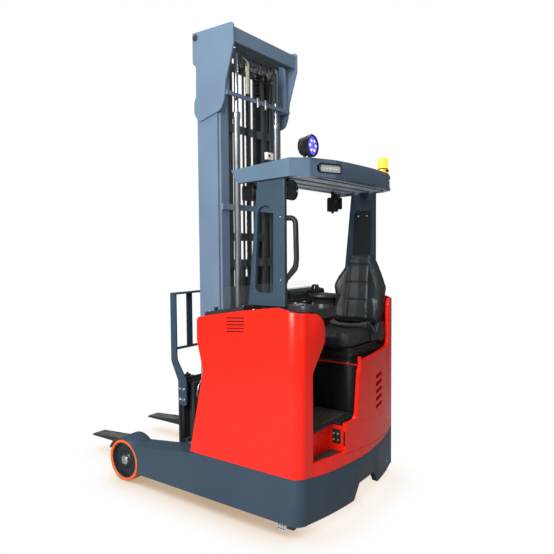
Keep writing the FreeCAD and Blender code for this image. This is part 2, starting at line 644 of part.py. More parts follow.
def steeringWheel():
    """Small steering disc with its spinner knob."""
    body = newBody("steering_wheel")
    at = ("discX", "0", "discY")
    turned(body, "front", [
        ("0", "trayZ + 20"), ("40", "trayZ + 20"), ("40", "trayZ + 29"), ("discRadius", "trayZ + 29"),
        ("discRadius", "trayZ + 46"), ("0", "trayZ + 46"),
    ], at, "V_Axis")
    turned(body, "front", [
        ("0", "trayZ + 40"), ("9", "trayZ + 40"), ("9", "trayZ + 68"), ("23", "trayZ + 74"),
        ("23", "trayZ + 108"), ("0", "trayZ + 108"),
    ], ("discX + 20", "0", "discY - 50"), "V_Axis")
    return body


def seat():
    """Suspended seat facing the entry: bellows, cushion and leaning backrest."""
    body = newBody("seat_suspension")
    rear = "-seatBaseX - 500"
    for number in range(4):
        low = "seatDeckZ + 1 + 27 * %d" % number
        inset = "14" if number % 2 else "0"
        pad(body, "plan", (low, low + " + 27"), [[
            soft("%s + %s" % (rear, inset), "seatY - seatHalf + 10 + " + inset, "30"),
            soft("seatBaseX - 8 - %s" % inset, "seatY - seatHalf + 10 + " + inset, "30"),
            soft("seatBaseX - 8 - %s" % inset, "seatY + seatHalf - 10 - " + inset, "30"),
            soft("%s + %s" % (rear, inset), "seatY + seatHalf - 10 - " + inset, "30"),
        ]])
    body = newBody("seat_cushion")
    pad(body, "plan", ("seatDeckZ + 111", "cushionZ"), [[
        soft("-backFrontX + 8", "seatY - seatHalf", "30"), soft("cushionFrontX", "seatY - seatHalf", "80"),
        soft("cushionFrontX", "seatY + seatHalf", "80"), soft("-backFrontX + 8", "seatY + seatHalf", "30"),
    ]])
    body = newBody("seat_backrest")
    pad(body, "side", ("-backFrontX - 92", "-backFrontX"), [[
        soft("seatY - seatHalf + 14", "cushionZ + 5", "40"),
        soft("seatY + seatHalf - 14", "cushionZ + 5", "40"),
        soft("seatY + seatHalf - 8", "cushionZ + 190", "60"),
        soft("seatY + seatBackHalf", "cushionZ + 300", "60"), soft("seatY + 96", "backTopZ", "60"),
        soft("seatY - 96", "backTopZ", "60"), soft("seatY - seatBackHalf", "cushionZ + 300", "60"),
        soft("seatY - seatHalf + 8", "cushionZ + 190", "60"),
    ]])
    pivot = Vector(value("-backFrontX"), 0, value("cushionZ"))
    body.Placement = Placement(Vector(), Rotation(Vector(0, 1, 0), -7), pivot)


def guardOutline(inset):
    """Plan of the guard's band, open at the front."""
    half = "(halfWidth - guardInset - %s)" % inset
    rise = "guardBowRise"
    radius = "(guardBowX^2 / (2 * %s) + %s / 2)" % (rise, rise)
    cornerX = "(guardCornerX - %s * 0.6)" % inset
    cornerY = "(guardCornerY - %s)" % inset
    bowY = "(guardRearY - guardBowRise - %s)" % inset
    return [
        (half, "guardFrontY - 5"), (half, "guardSideY - %s * 0.5" % inset), (cornerX, cornerY),
        ("guardBowX", bowY, radius), ("-guardBowX", bowY), ("-" + cornerX, cornerY),
        ("-" + half, "guardSideY - %s * 0.5" % inset), ("-" + half, "guardFrontY - 5"),
    ]


def overheadGuard():
    """Band round the guard's roof with slanted front ends, roof boards and a front bar."""
    body = newBody("overhead_guard")
    low = "guardTop - guardDepth - 20"
    pad(body, "plan", (low, "guardTop"), [guardOutline("0")])
    inner = guardOutline("guardWall")
    inner[0] = (inner[0][0], "guardFrontY - 15")
    inner[-1] = (inner[-1][0], "guardFrontY - 15")
    pocket(body, "plan", ("guardTop - guardDepth - 30", "guardTop + 10"), [inner])
    across = ("-halfWidth", "halfWidth")
    pocket(body, "side", across, [[
        ("guardFrontY - 60", "guardTop - 40"), ("guardFrontY", "guardTop - 40"),
        ("guardSideY", "guardTop"), ("guardSideY", "guardTop + 20"), ("guardFrontY - 60", "guardTop + 20"),
    ]])
    pocket(body, "side", across, [[
        ("guardFrontY - 60", "guardTop - 40"), ("guardFrontY", "guardTop - 40"),
        ("guardFrontY + 50", "guardTop - guardDepth - 15"), ("guardSideY", "guardTop - guardDepth"),
        ("guardRearY + 20", "guardTop - guardDepth"), ("guardRearY + 20", "guardTop - guardDepth - 40"),
        ("guardFrontY - 60", "guardTop - guardDepth - 40"),
    ]])
    half = "(halfWidth - guardInset - guardWall + 5)"
    board = ("guardTop - guardDepth + 6", "guardTop - guardDepth + 28")
    slab(body, ("-" + half, half), ("guardFrontY + 52", "guardFrontY + 92"), board)
    for number in range(3):
        y = "guardFrontY + 130 + 130 * %d" % number
        slab(body, ("-" + half, half), (y, y + " + guardSlat"), board)
    slab(body, ("-guardCornerX + 15", "guardCornerX - 15"),
         ("guardFrontY + 516", "guardFrontY + 542"), board)
    for side in (1, -1):
        slab(body, sided(side, "330", "380"), ("guardFrontY + 52", "guardRearY - 45"),
             ("guardTop - guardDepth + 28", "guardTop - guardDepth + 60"))
    for lampX in ("halfWidth * 0.615", "-halfWidth * 0.84"):
        pocket(body, "front", ("guardRearY - 110", "guardRearY + 10"), [[
            soft("%s - 100" % lampX, "guardTop - 86", "24"),
            soft("%s + 100" % lampX, "guardTop - 86", "24"),
            soft("%s + 100" % lampX, "guardTop - 24", "24"),
            soft("%s - 100" % lampX, "guardTop - 24", "24"),
        ]])
    return body


def pillar(side, label):
    """Tapered guard pillar with a long slot."""
    body = newBody(label)
    outer = "(halfWidth - guardInset - pillarInset)"
    span = sided(side, "%s - pillarThick" % outer, outer)
    low = "peakZ + 2"
    high = "guardTop - guardDepth"
    pad(body, "side", span, [[
        ("pillarRearY", low), ("pillarRearY", high + " - 3"), ("pillarTopY", high + " - 12"),
        ("pillarFootY", low),
    ]])
    if side > 0:
        pocket(body, "side", span, [[
            soft("slotY + 57", "slotLow", "30"),
            ("slotY + slotHalf", "slotTop - slotHalf", "slotHalf + 0.1"),
            ("slotY", "slotTop", "slotHalf + 0.1"), ("slotY - slotHalf", "slotTop - slotHalf"),
            soft("slotY - 84", "slotLow", "30"),
        ]])
    else:
        shallow = sided(side, "%s - pillarThick" % outer, "%s - pillarThick + 8" % outer)
        pocket(body, "side", shallow, [[
            soft("pillarRearY - 31", "slotLow", "30"), soft("pillarRearY - 31", "slotTop + 26", "30"),
            soft("pillarRearY - 176", "slotTop + 26", "30"), soft("pillarRearY - 200", "slotLow", "30"),
        ]])
    return body


def grabHandle():
    """Bent tube beside the rear edge of the left pillar."""
    body = newBody("grab_handle")
    inner = "(halfWidth - guardInset - pillarInset - pillarThick)"
    tube(body, "side", "handleX", [
        ("pillarRearY - 30", "handleTopZ"), soft("pillarRearY + 52", "handleTopZ", "38"),
        soft("pillarRearY + 60", "handleLowZ + 85", "60"), ("pillarRearY - 30", "handleLowZ"),
    ], "handleRadius")
    for y, z in (("pillarRearY - 28", "handleTopZ"), ("pillarRearY - 24", "handleLowZ + 5")):
        slab(body, ("handleX - 6", inner), (y + " - 18", y + " + 14"), (z + " - 14", z + " + 14"))
    return body


def lamps():
    """Work lamps and mirror box under the guard, rear light bars and the blue spot on top."""
    body = newBody("work_lamps")
    roof = "guardTop - guardDepth"
    for x in ("halfWidth * 0.80", "-halfWidth * 0.80"):
        slab(body, ("%s - 50" % x, "%s + 30" % x), ("guardFrontY + 30", "guardFrontY + 110"),
             (roof + " - 118", roof + " - 24"))
        slab(body, ("%s - 22" % x, "%s + 2" % x), ("guardFrontY + 58", "guardFrontY + 82"),
             (roof + " - 24", roof + " + 5"))
    turned(body, "side", [
        ("-26", "0"), ("-26", "40"), ("10", "62"), ("22", "62"), ("22", "0"),
    ], ("guardFrontY + 365", roof + " - 70", "halfWidth * 0.78"))
    slab(body, ("halfWidth * 0.78 - 12", "halfWidth * 0.78 + 12"),
         ("guardFrontY + 340", "guardFrontY + 364"), (roof + " - 40", roof + " + 5"))
    slab(body, ("-halfWidth * 0.53 - 34", "-halfWidth * 0.53 + 34"),
         ("guardFrontY + 130", "guardFrontY + 190"), (roof + " - 150", roof + " - 52"))
    slab(body, ("-halfWidth * 0.53 - 10", "-halfWidth * 0.53 + 10"),
         ("guardFrontY + 150", "guardFrontY + 170"), (roof + " - 52", roof + " + 5"))
    turned(body, "side", [
        ("-52", "0"), ("-50", "26"), ("-34", "46"), ("0", "60"), ("26", "63"), ("26", "0"),
    ], ("guardCornerY - 10", "guardTop + 66", "halfWidth * 0.842"))
    for x in (-34, 20):
        slab(body, ("halfWidth * 0.842 + %d" % x, "halfWidth * 0.842 + %d" % (x + 14)),
             ("guardCornerY - 26", "guardCornerY - 10"), ("guardTop + 0.5", "guardTop + 40"))
    body = newBody("beacon")
    turned(body, "front", [
        ("0", "guardTop + 0.5"), ("42", "guardTop + 0.5"), ("42", "guardTop + 18"),
        ("35", "guardTop + 18"),
        ("35", "guardTop + 96"), ("28", "guardTop + 104"), ("0", "guardTop + 104"),
    ], ("-halfWidth * 0.49", "0", "guardRearY - 40"), "V_Axis")


# ---- wheels ----

def wheel(label, radius, width, centre):
    """Tyre and dished hub on the X axis through the wheel's centre."""
    rim = "(%s - tyreDepth)" % radius
    half = "(%s/2)" % width
    for name, outline in (
        ("tyre", [("-" + half, rim), (half, rim), (half, radius), ("-" + half, radius)]),
        ("hub", [("-%s + 4" % half, "axleRadius + 0.5"), (half + " - 12", "axleRadius + 0.5"),
                 (half + " - 12", "axleRadius + 32"), (half + " - 26", "axleRadius + 46"),
                 (half + " - 26", rim + " - 10"), (half + " - 6", rim + " - 10"), (half + " - 6", rim),
                 ("-%s + 6" % half, rim), ("-%s + 6" % half, "axleRadius + 38"),
                 ("-%s + 4" % half, "axleRadius + 38")]),
    ):
        body = newBody("%s_%s" % (label[0], name) + label[1])
        turned(body, "plan", outline, ("0", "0", "0"))
        body.Placement = Placement(centre, Rotation())


# ---- driving unit ----

def driveUnit():
    """Steered gear case and motor over the drive wheel."""
    body = newBody("drive_unit")
    at = ("driveX", "driveY")
    pad(body, "plan", ("2 * driveRadius + 12", "stepZ - 64"), circles=[(at, "gearRadius")])
    pad(body, "plan", ("stepZ - 64", "floorZ - 40"), circles=[(at, "motorRadius")])
    pad(body, "plan", ("stepZ + 20", "stepZ + 32"), circles=[(at, "motorRadius + 9")])
    slab(body, ("driveX + driveWidth/2 + 8", "driveX + driveWidth/2 + 60"), ("driveY - 90", "driveY + 90"),
         ("driveRadius", "2 * driveRadius + 12"))
    pad(body, "side", ("driveX + driveWidth/2 + 8", "driveX + driveWidth/2 + 60"),
        circles=[(("driveY", "driveRadius"), "90")])
    return body


# ---- mast ----

def channel(body, side, outer, width, frontY, rearY, wall, span, webInset="0"):
    """C- or I-section upright: two flanges joined by a web."""
    flangeX = sided(side, "%s - %s" % (outer, width), outer)
    slab(body, flangeX, (frontY, "%s + %s" % (frontY, wall)), span)
    slab(body, flangeX, ("%s - %s" % (rearY, wall), rearY), span)
    webX = sided(side, "%s - (%s) - %s" % (outer, webInset, wall), "%s - (%s)" % (outer, webInset))
    slab(body, webX, ("%s + %s" % (frontY, wall), "%s - %s" % (rearY, wall)), span)


frontY = "(mastRearY - mastDepth)"
outerX = "(halfWidth - legWidth - mastGap)"
sidePlateX = "(%s + sidePlate)" % outerX
headPlateX = "(%s + headPlate)" % sidePlateX
midOuter = "(%s - stageInset)" % outerX
midFront = "(%s + flangeThick + stageGap)" % frontY
midRear = "(mastRearY - flangeThick - stageGap)"
innerOuter = "(%s - channelWidth/2 - stageFlange/2 - 12)" % midOuter
innerFront = "(%s + stageFlange + stageGap)" % midFront
innerRear = "(%s - stageFlange - stageGap)" % midRear


def crossBar(body, half, ySpan, low, high):
    slab(body, ("-(%s)" % half, half), ySpan, (low, high))


def outerMast():
    """Fixed stage: channels, side plates, head plates and cross beams."""
    body = newBody("outer_mast")
    for side in (1, -1):
        channel(body, side, outerX, "channelWidth", frontY, "mastRearY", "flangeThick",
                ("mastBottom", "mastTop - 60"))
        slab(body, sided(side, outerX, sidePlateX), ("mastRearY - 209", "mastRearY - 18"),
             ("mastBottom", "mastTop - 40"))
        pad(body, "side", sided(side, sidePlateX, headPlateX), [[
            ("mastRearY - 236", "mastTop"), ("mastRearY - 236", "mastTop - 218"),
            soft("mastRearY - 204", "mastTop - 240", "30"), soft("mastRearY - 208", "mastTop - 453", "60"),
            soft("mastRearY - 227", "mastTop - 496", "40"), soft("mastRearY - 227", "mastTop - 575", "40"),
            soft("mastRearY - 185", "mastTop - 640", "45"), soft("mastRearY + 32", "mastTop - 578", "60"),
            soft("mastRearY + 60", "mastTop - 510", "60"), ("mastRearY + 75", "mastTop - 389"),
            ("mastRearY + 149", "mastTop - 149"), soft("mastRearY + 150", "mastTop", "24"),
        ]])
        pocket(body, "side", sided(side, sidePlateX, headPlateX),
               circles=[(("mastRearY - 210", "mastTop - 35"), "liftEyeRadius")])
        slab(body, sided(side, outerX + " - 20", sidePlateX), ("mastRearY - 18", "mastRearY + 68"),
             ("mastTop - 480", "mastTop - 40"))
        foot = sided(side, outerX + " - 26", sidePlateX)
        slab(body, foot, ("mastRearY - 18", "mastRearY + 55"), ("reachPlateLow + 20", "mastBottom + 170"))
    crossBar(body, sidePlateX, ("mastRearY + 122", "mastRearY + 140"), "mastTop - 126", "mastTop - 26")
    crossBar(body, sidePlateX, ("mastRearY + 67", "mastRearY + 81"), "mastTop - 476", "mastTop - 449")
    crossBar(body, outerX, ("mastRearY", "mastRearY + 14"), "mastTop - 1275", "mastTop - 1233")
    crossBar(body, outerX, ("mastRearY", "mastRearY + 14"), "mastBottom", "mastBottom + 120")
    for side in (1, -1):
        slab(body, sided(side, outerX, sidePlateX), ("mastRearY + 60", "mastRearY + 140"),
             ("mastTop - 130", "mastTop - 40"))
    return body


def middleMast():
    """Second stage with its cross members and the rollers at its foot."""
    body = newBody("middle_mast")
    span = ("mastBottom + 15", "mastTop - 100")
    for side in (1, -1):
        channel(body, side, midOuter, "channelWidth", midFront, midRear, "stageFlange", span,
                "channelWidth/2 - stageFlange/2")
    half = midOuter + " - channelWidth"
    for low in ("mastTop - 160", "mastTop - 700", "mastTop - 1700", "mastBottom + 15"):
        crossBar(body, half, ("%s - 12" % midRear, midRear), low, low + " + 60")
    return body


def innerMast():
    """Third stage; two pressure pipes climb its cross members."""
    body = newBody("inner_mast")
    span = ("mastBottom + 25", "mastTop - 130")
    for side in (1, -1):
        channel(body, side, innerOuter, "channelWidth - 10", innerFront, innerRear, "stageFlange", span)
    half = innerOuter + " - channelWidth + 10"
    for low in ("mastTop - 250", "mastTop - 1500", "mastBottom + 25"):
        crossBar(body, half, ("%s - 12" % innerRear, innerRear), low, low + " + 60")
    for side in (1, -1):
        pad(body, "plan", ("mastBottom + 60", "mastTop - 205"),
            circles=[(("%d * pipeX" % side, innerRear + " - 17"), "9")])
    return body


def sheave(body, x, wide, radius):
    """Grooved chain or hose wheel on a cross axle under the middle stage's head bar."""
    turned(body, "plan", [
        ("-%s/2" % wide, "8"), ("%s/2" % wide, "8"), ("%s/2" % wide, radius), ("%s/2 - 6" % wide, radius),
        ("%s/2 - 6" % wide, radius + " - 12"), ("-%s/2 + 6" % wide, radius + " - 12"),
        ("-%s/2 + 6" % wide, radius), ("-%s/2" % wide, radius),
    ], (x, "liftY - 6", "mastTop - 228"))


def liftCylinders():
    """Lift cylinders behind the uprights, and the rods, head bar, sheaves and chains of the stage."""
    body = newBody("lift_cylinders")
    for side in (1, -1):
        at = ("%d * liftX" % side, "liftY")
        pad(body, "plan", ("reachPlateLow + 15", "liftTubeTop"), circles=[(at, "liftTubeRadius")])
        pad(body, "plan", ("liftTubeTop - 34", "liftTubeTop + 8"), circles=[(at, "liftTubeRadius + 4")])
        pocket(body, "plan", ("reachPlateLow + 35", "liftTubeTop + 20"),
               circles=[(at, "liftRodRadius + 2")])
        hold = sided(side, "liftX - 20", "liftX + 20")
        for low in ("mastBottom + 60", "mastTop - 1273"):
            slab(body, hold, ("mastRearY + 14", "liftY - liftTubeRadius + 8"), (low, low + " + 38"))
    body = newBody("lift_rods")
    bar = ("mastTop - 160", "mastTop - 120")
    for side in (1, -1):
        at = ("%d * liftX" % side, "liftY")
        pad(body, "plan", ("mastBottom + 80", "mastTop - 160"), circles=[(at, "liftRodRadius")])
    slab(body, ("-liftX - 20", "liftX + 20"), ("liftY - 22", "liftY + 20"), bar)
    slab(body, ("-60", "60"), (midRear, "liftY - 22"), bar)
    for side in (1, -1):
        for at, wide in (("sheaveX", "26"), ("hoseSheaveX", "34")):
            x = "%d * %s" % (side, at)
            sheave(body, x, wide, "sheaveRadius")
            pad(body, "side", (x + " - %s/2 - 9" % wide, x + " + %s/2 + 9" % wide),
                circles=[(("liftY - 6", "mastTop - 228"), "9")])
            for edge in ("- %s/2 - 8" % wide, "+ %s/2 + 3" % wide):
                slab(body, ("%s %s" % (x, edge), "%s %s + 5" % (x, edge)), ("liftY - 20", "liftY + 8"),
                     ("mastTop - 242", "mastTop - 158"))
        chainX = "%d * sheaveX" % side
        slab(body, (chainX + " - 5", chainX + " + 5"),
             ("liftY - 6 - sheaveRadius", "liftY + 6 - sheaveRadius"),
             ("mastBottom + 260", "mastTop - 228"))
        hoseX = "%d * hoseSheaveX" % side
        for inset in ("-8", "8"):
            pad(body, "plan", ("mastBottom + 260", "mastTop - 228"),
                circles=[((hoseX + " + " + inset, "liftY + 1 - sheaveRadius"), "7")])
    return body


def reachCarriage():
    """Carriage that holds the mast between the legs, with its rollers in the rails."""
    body = newBody("reach_carriage")
    railMiddle = "(railTop + railBottom)/2"
    inner = "(halfWidth - legWidth - 8)"
    plates = ("reachPlateLow", "reachPlateTop")
    for side in (1, -1):
        slab(body, sided(side, headPlateX + " + 5", inner), ("mastRearY - 285", "batteryFrontY - 34"),
             plates)
        slab(body, sided(side, sidePlateX, headPlateX + " + 5"), ("mastRearY - 200", "mastRearY - 30"),
             plates)
        for y in ("mastRearY - 175", "mastRearY + 15"):
            pad(body, "side", sided(side, inner, inner + " + railDepth + 2"),
                circles=[((y, railMiddle), "(railTop - railBottom)/2 - 5")])
        pad(body, "front", ("batteryFrontY - 36", "driveY - 30"),
            circles=[(("%d * reachX" % side, "reachZ"), "reachRodRadius")])
        pad(body, "side", sided(side, sidePlateX, headPlateX + " + 5"), [[
            ("mastRearY - 160", "reachPlateTop - 20"), ("mastRearY - 60", "reachPlateTop - 20"),
            soft("mastRearY - 90", "reachPlateTop + 140", "30"),
            soft("mastRearY - 140", "reachPlateTop + 140", "30"),
        ]])
        slab(body, sided(side, "liftX + liftTubeRadius + 5", headPlateX + " + 15"),
             ("batteryFrontY - 44", "batteryFrontY - 34"), ("reachPlateLow - 30", "reachPlateTop - 10"))
    slab(body, ("-%s - 15" % headPlateX, headPlateX + " + 15"),
         ("batteryFrontY - 74", "batteryFrontY - 34"),
         ("reachPlateLow - 46", "reachPlateLow + 14"))
    return body


def freeLift():
    """Free lift cylinder on the inner stage, and its rod with the carriage chains' head."""
    body = newBody("free_lift_cylinder")
    at = ("0", "freeLiftY")
    pad(body, "plan", ("mastBottom + 90", "freeTubeTop"), circles=[(at, "freeTubeRadius")])
    pocket(body, "plan", ("mastBottom + 110", "freeTubeTop + 10"), circles=[(at, "freeRodRadius + 2")])
    slab(body, ("-30", "30"), ("freeLiftY - 10", innerRear + " - 12"),
         ("mastBottom + 40", "mastBottom + 90"))
    body = newBody("free_lift_rod")
    pad(body, "plan", ("mastBottom + 130", "freeRodTop"), circles=[(at, "freeRodRadius")])
    slab(body, ("-66", "66"), ("freeLiftY - 30", "freeLiftY + 30"), ("freeRodTop", "freeRodTop + 25"))
    for side in (1, -1):
        wheelX = "%d * 75" % side
        turned(body, "plan", [
            ("-9", "0"), ("9", "0"), ("9", "40"), ("4", "40"), ("4", "30"), ("-4", "30"), ("-4", "40"),
            ("-9", "40"),
        ], (wheelX, "freeLiftY - 12", "freeRodTop + 12"))


def forkCarriage():
    """Lifting carriage, the tilting frame in front of it and the side-shifting carriage."""
    body = newBody("fork_carriage")
    half = "(carriageHalf - sideShift - 12)"
    rear = ("carriageFrontY + 90", "carriageFrontY + 115")
    for side in (1, -1):
        slab(body, sided(side, "100", "125"), ("carriageFrontY + 115", "mastRearY - 75"),
             ("carriageLow", "carriageTop - 20"))
        for z in ("carriageLow + 60", "carriageTop - 80"):
            pad(body, "side", sided(side, "125", "%s - stageFlange - 6" % innerOuter),
                circles=[(("(%s + %s)/2" % (innerFront, innerRear), z), "30")])
        slab(body, sided(side, "250", "275"), ("tiltY - 16", rear[0]), ("tiltZ - 22", "tiltZ + 22"))
        pad(body, "side", sided(side, "212", "275"), circles=[(("tiltY", "tiltZ"), "tiltPin")])
        slab(body, sided(side, half + " - 70", half), rear, ("carriageLow + 80", "carriageTop - 120"))
    slab(body, ("-" + half, half), rear, ("carriageLow", "carriageLow + 80"))
    slab(body, ("-" + half, half), rear, ("carriageTop - 120", "carriageTop - 20"))
    slab(body, ("-150", "150"), rear, ("carriageLow + 80", "carriageTop - 120"))
    slab(body, ("250", "340"), ("carriageFrontY + 115", "mastRearY - 205"),
         ("carriageTop - 200", "carriageTop - 60"))
    body = newBody("tilt_frame")
    front = ("carriageFrontY + 20", "carriageFrontY + 38")
    slab(body, ("-" + half, half), front, ("carriageLow", "carriageLow + 70"))
    slab(body, ("-" + half, half), front, ("carriageTop - 90", "carriageTop - 20"))
    for side in (1, -1):
        slab(body, sided(side, "300", "340"), front, ("carriageLow + 70", "carriageTop - 90"))
        lug = sided(side, "214", "244")
        slab(body, lug, ("carriageFrontY + 38", "tiltY"), ("tiltZ - tiltPin - 8", "tiltZ + tiltPin + 8"))
        pad(body, "side", lug, circles=[(("tiltY", "tiltZ"), "tiltPin + 8")])
        pocket(body, "side", lug, circles=[(("tiltY", "tiltZ"), "tiltPin + 0.5")])
    body = newBody("shift_carriage")
    face = ("carriageFrontY", "carriageFrontY + 15")
    for low in ("carriageLow - 20", "carriageTop - 90"):
        slab(body, ("-carriageHalf", "carriageHalf"), face, (low, low + " + 90"))
    for side in (1, -1):
        slab(body, sided(side, "carriageHalf - 20", "carriageHalf"), face,
             ("carriageLow + 70", "carriageTop - 90"))
        slab(body, sided(side, "carriageHalf - 20", "carriageHalf"),
             ("carriageFrontY + 15", "carriageFrontY + 40"),
             ("carriageTop - 180", "carriageTop - 110"))


def fork(side, label):
    body = newBody(label)
    across = ("%d * forkSpread/2 - forkWidth/2" % side, "%d * forkSpread/2 + forkWidth/2" % side)
    heel = "(carriageFrontY - forkThick)"
    tip = "(%s - forkLength)" % heel
    pad(body, "side", across, [[
        ("carriageFrontY", "carriageTop"), soft(heel, "carriageTop", "12"),
        soft(heel, "forkLift + forkThick", "18"), ("%s + 380" % tip, "forkLift + forkThick"),
        (tip, "forkLift + 14"), (tip, "forkLift"), soft("carriageFrontY", "forkLift", "34"),
    ]])
    return body


def backrest():
    """Load backrest: cranked side bars, uprights and rails."""
    body = newBody("load_backrest")
    front = "(carriageFrontY - 58)"
    for side in (1, -1):
        pad(body, "side", sided(side, "carriageHalf", "carriageHalf + barThick"), [[
            soft("carriageFrontY + 96", "backrestLow", "14"),
            soft("carriageFrontY + 96", "backrestLow + 193", "90"),
            soft("carriageFrontY", "backrestLow + 340", "90"), ("carriageFrontY", "backrestTop"),
            (front, "backrestTop"), soft(front, "backrestLow + 325", "90"),
            soft("carriageFrontY + 18", "backrestLow + 170", "90"),
            soft("carriageFrontY + 18", "backrestLow", "14"),
        ]])
    slab(body, ("-carriageHalf", "carriageHalf"), (front, "carriageFrontY"),
         ("backrestTop - barThick", "backrestTop"))
    slab(body, ("-carriageHalf", "carriageHalf"), (front, front + " + 38"),
         ("backrestRail", "backrestRail + barThick"))
    for x in ("-carriageHalf * 0.69", "0", "carriageHalf * 0.58"):
        slab(body, (x + " - 28", x + " + 28"), (front, front + " + barThick"),
             ("backrestRail + barThick", "backrestTop - barThick"))
    return body


leg(1, "leg_left")
leg(-1, "leg_right")
rearSkirt()
chassisFrame()
battery()
sidePanel(1, "side_panel_left")
sidePanel(-1, "side_panel_right")
rearPanel()
footwell()
seatBase()
batteryDeck()
screen()
console()
dashboard()
steeringWheel()
seat()
overheadGuard()
pillar(1, "pillar_left")
pillar(-1, "pillar_right")
grabHandle()
lamps()
loadX = value("halfWidth - loadInset - loadWidth / 2")
for side, end in ((1, "_left"), (-1, "_right")):
    wheel(("load", end), "loadRadius", "loadWidth", Vector(side * loadX, 0, value("loadRadius")))
wheel(("drive", ""), "driveRadius", "driveWidth",
      Vector(value("driveX"), value("driveY"), value("driveRadius")))
driveUnit()
outerMast()
middleMast()
innerMast()
liftCylinders()
reachCarriage()
freeLift()
forkCarriage()
fork(1, "fork_left")
fork(-1, "fork_right")
backrest()


# ---- placing, checking and writing ----

def finish():
    """Centre the truck over the origin, check every object and write the sub-parts."""
    shift = value("-(guardRearY + carriageFrontY - forkThick - forkLength) / 2")
    for body in allBodies:
        body.Placement.Base = body.Placement.Base + Vector(0, shift, 0)
    doc.recompute()
    for item in doc.Objects:
        if "Invalid" in item.State or "Error" in item.State:
            raise RuntimeError("%s failed: %s" % (item.Label, item.State))
    os.makedirs("parts", exist_ok=True)
    for body in allBodies:
        shape = body.Shape
        if shape.isNull() or not shape.isValid():
            raise RuntimeError("%s has no valid shape" % body.Label)
        shape.exportStep("parts/%s.step" % body.Label)
        print("%-22s %8.2f litres, %d solids" % (body.Label, shape.Volume / 1e6, len(shape.Solids)))


finish()
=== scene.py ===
import math

import bmesh
import bpy
from mathutils import Matrix, Vector


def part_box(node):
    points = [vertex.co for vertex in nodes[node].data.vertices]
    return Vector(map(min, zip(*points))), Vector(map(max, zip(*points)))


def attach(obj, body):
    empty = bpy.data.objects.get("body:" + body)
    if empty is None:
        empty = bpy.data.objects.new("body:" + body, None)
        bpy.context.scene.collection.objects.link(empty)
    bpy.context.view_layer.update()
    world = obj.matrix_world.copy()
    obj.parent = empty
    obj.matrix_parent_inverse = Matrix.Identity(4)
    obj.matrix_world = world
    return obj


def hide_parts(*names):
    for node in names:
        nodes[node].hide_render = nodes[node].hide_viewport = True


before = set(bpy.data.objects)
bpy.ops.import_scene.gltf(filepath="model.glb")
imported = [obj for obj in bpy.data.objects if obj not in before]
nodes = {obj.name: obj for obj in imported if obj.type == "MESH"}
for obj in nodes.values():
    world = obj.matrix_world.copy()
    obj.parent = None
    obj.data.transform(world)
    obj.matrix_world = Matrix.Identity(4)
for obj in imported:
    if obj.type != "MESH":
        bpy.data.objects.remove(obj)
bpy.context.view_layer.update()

print("frame loaded:", len(nodes), "nodes")


def boxOf(name):
    low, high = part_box(name)
    return Vector(low), Vector(high)


axleLine = sum(corner.y for corner in boxOf("load_tyre_left")) / 2
sides = ((1, "left"), (-1, "right"))


def at(x, y, z):
    # millimetres from the load wheels' axle line and the floor
    return Vector((x / 1000, y / 1000 + axleLine, z / 1000))


# shader nodes, each made with its settings and inputs in one call

def feed(tree, item, inputs):
    # sets a node's inputs from plain values or from other nodes' outputs
    for key, value in inputs.items():
        if isinstance(value, bpy.types.NodeSocket):
            tree.links.new(value, item.inputs[key])
        else:
            item.inputs[key].default_value = value


def addNode(tree, kind, inputs=None, **settings):
    item = tree.nodes.new("ShaderNode" + kind)
    for key, value in settings.items():
        setattr(item, key, value)
    feed(tree, item, inputs or {})
    return item


def newMaterial(name):
    material = bpy.data.materials.new(name)
    material.use_nodes = True
    tree = material.node_tree
    return material, tree, tree.nodes["Principled BSDF"]


def arithmetic(tree, operation, *values, clamp=False):
    item = addNode(tree, "Math", dict(enumerate(values)), operation=operation, use_clamp=clamp)
    return item.outputs["Value"]


def mixed(tree, factor, first, second):
    item = addNode(tree, "Mix", {"Factor": factor, "A": first, "B": second}, data_type="RGBA")
    return item.outputs["Result"]


def partsOf(tree, vector):
    # X, Y and Z of a vector output
    return addNode(tree, "SeparateXYZ", {"Vector": vector}).outputs


def ownPlace(tree):
    # the object's own metres
    return addNode(tree, "TexCoord").outputs["Object"]


def noiseOver(tree, scale, detail=4.0, stretch=None):
    # clouding, stretched along an axis when asked
    where = ownPlace(tree)
    if stretch:
        where = addNode(tree, "Mapping", {"Vector": where, "Scale": stretch}).outputs["Vector"]
    return addNode(tree, "TexNoise", {"Vector": where, "Scale": scale, "Detail": detail}).outputs["Fac"]


def cellsOver(tree, scale, feature="F1"):
    item = addNode(tree, "TexVoronoi", {"Vector": ownPlace(tree), "Scale": scale}, feature=feature)
    return item.outputs["Distance"]


def ramp(tree, source, stops):
    item = addNode(tree, "ValToRGB", {"Fac": source})
    elements = item.color_ramp.elements
    for number, (place, shade) in enumerate(stops):
        stop = elements[number] if number < 2 else elements.new(place)
        stop.position = place
        stop.color = (*shade, 1)
    return item.outputs["Color"]


def scaled(colour, factor):
    return tuple(min(channel * factor, 1.0) for channel in colour)


def shades(tree, scale, colour, less, more, low=0.3, high=0.7, **noise):
    # one colour, clouded between a darker and a lighter tone
    tones = [(low, scaled(colour, less)), (high, scaled(colour, more))]
    return ramp(tree, noiseOver(tree, scale, **noise), tones)


def bump(tree, shader, height, strength, distance):
    raised = addNode(tree, "Bump", {"Strength": strength, "Distance": distance, "Height": height})
    feed(tree, shader, {"Normal": raised.outputs["Normal"]})


def dusted(tree, colour, dust, low, high, most):
    # road dust gathers on the lowest stretch
    height = partsOf(tree, addNode(tree, "NewGeometry").outputs["Position"])["Z"]
    span = addNode(tree, "MapRange", {"Value": height, "From Min": high, "From Max": low, "To Max": most})
    patchy = arithmetic(tree, "MULTIPLY", span.outputs["Result"], noiseOver(tree, 5.0))
    return mixed(tree, patchy, colour, (*dust, 1))


# kinds of finish

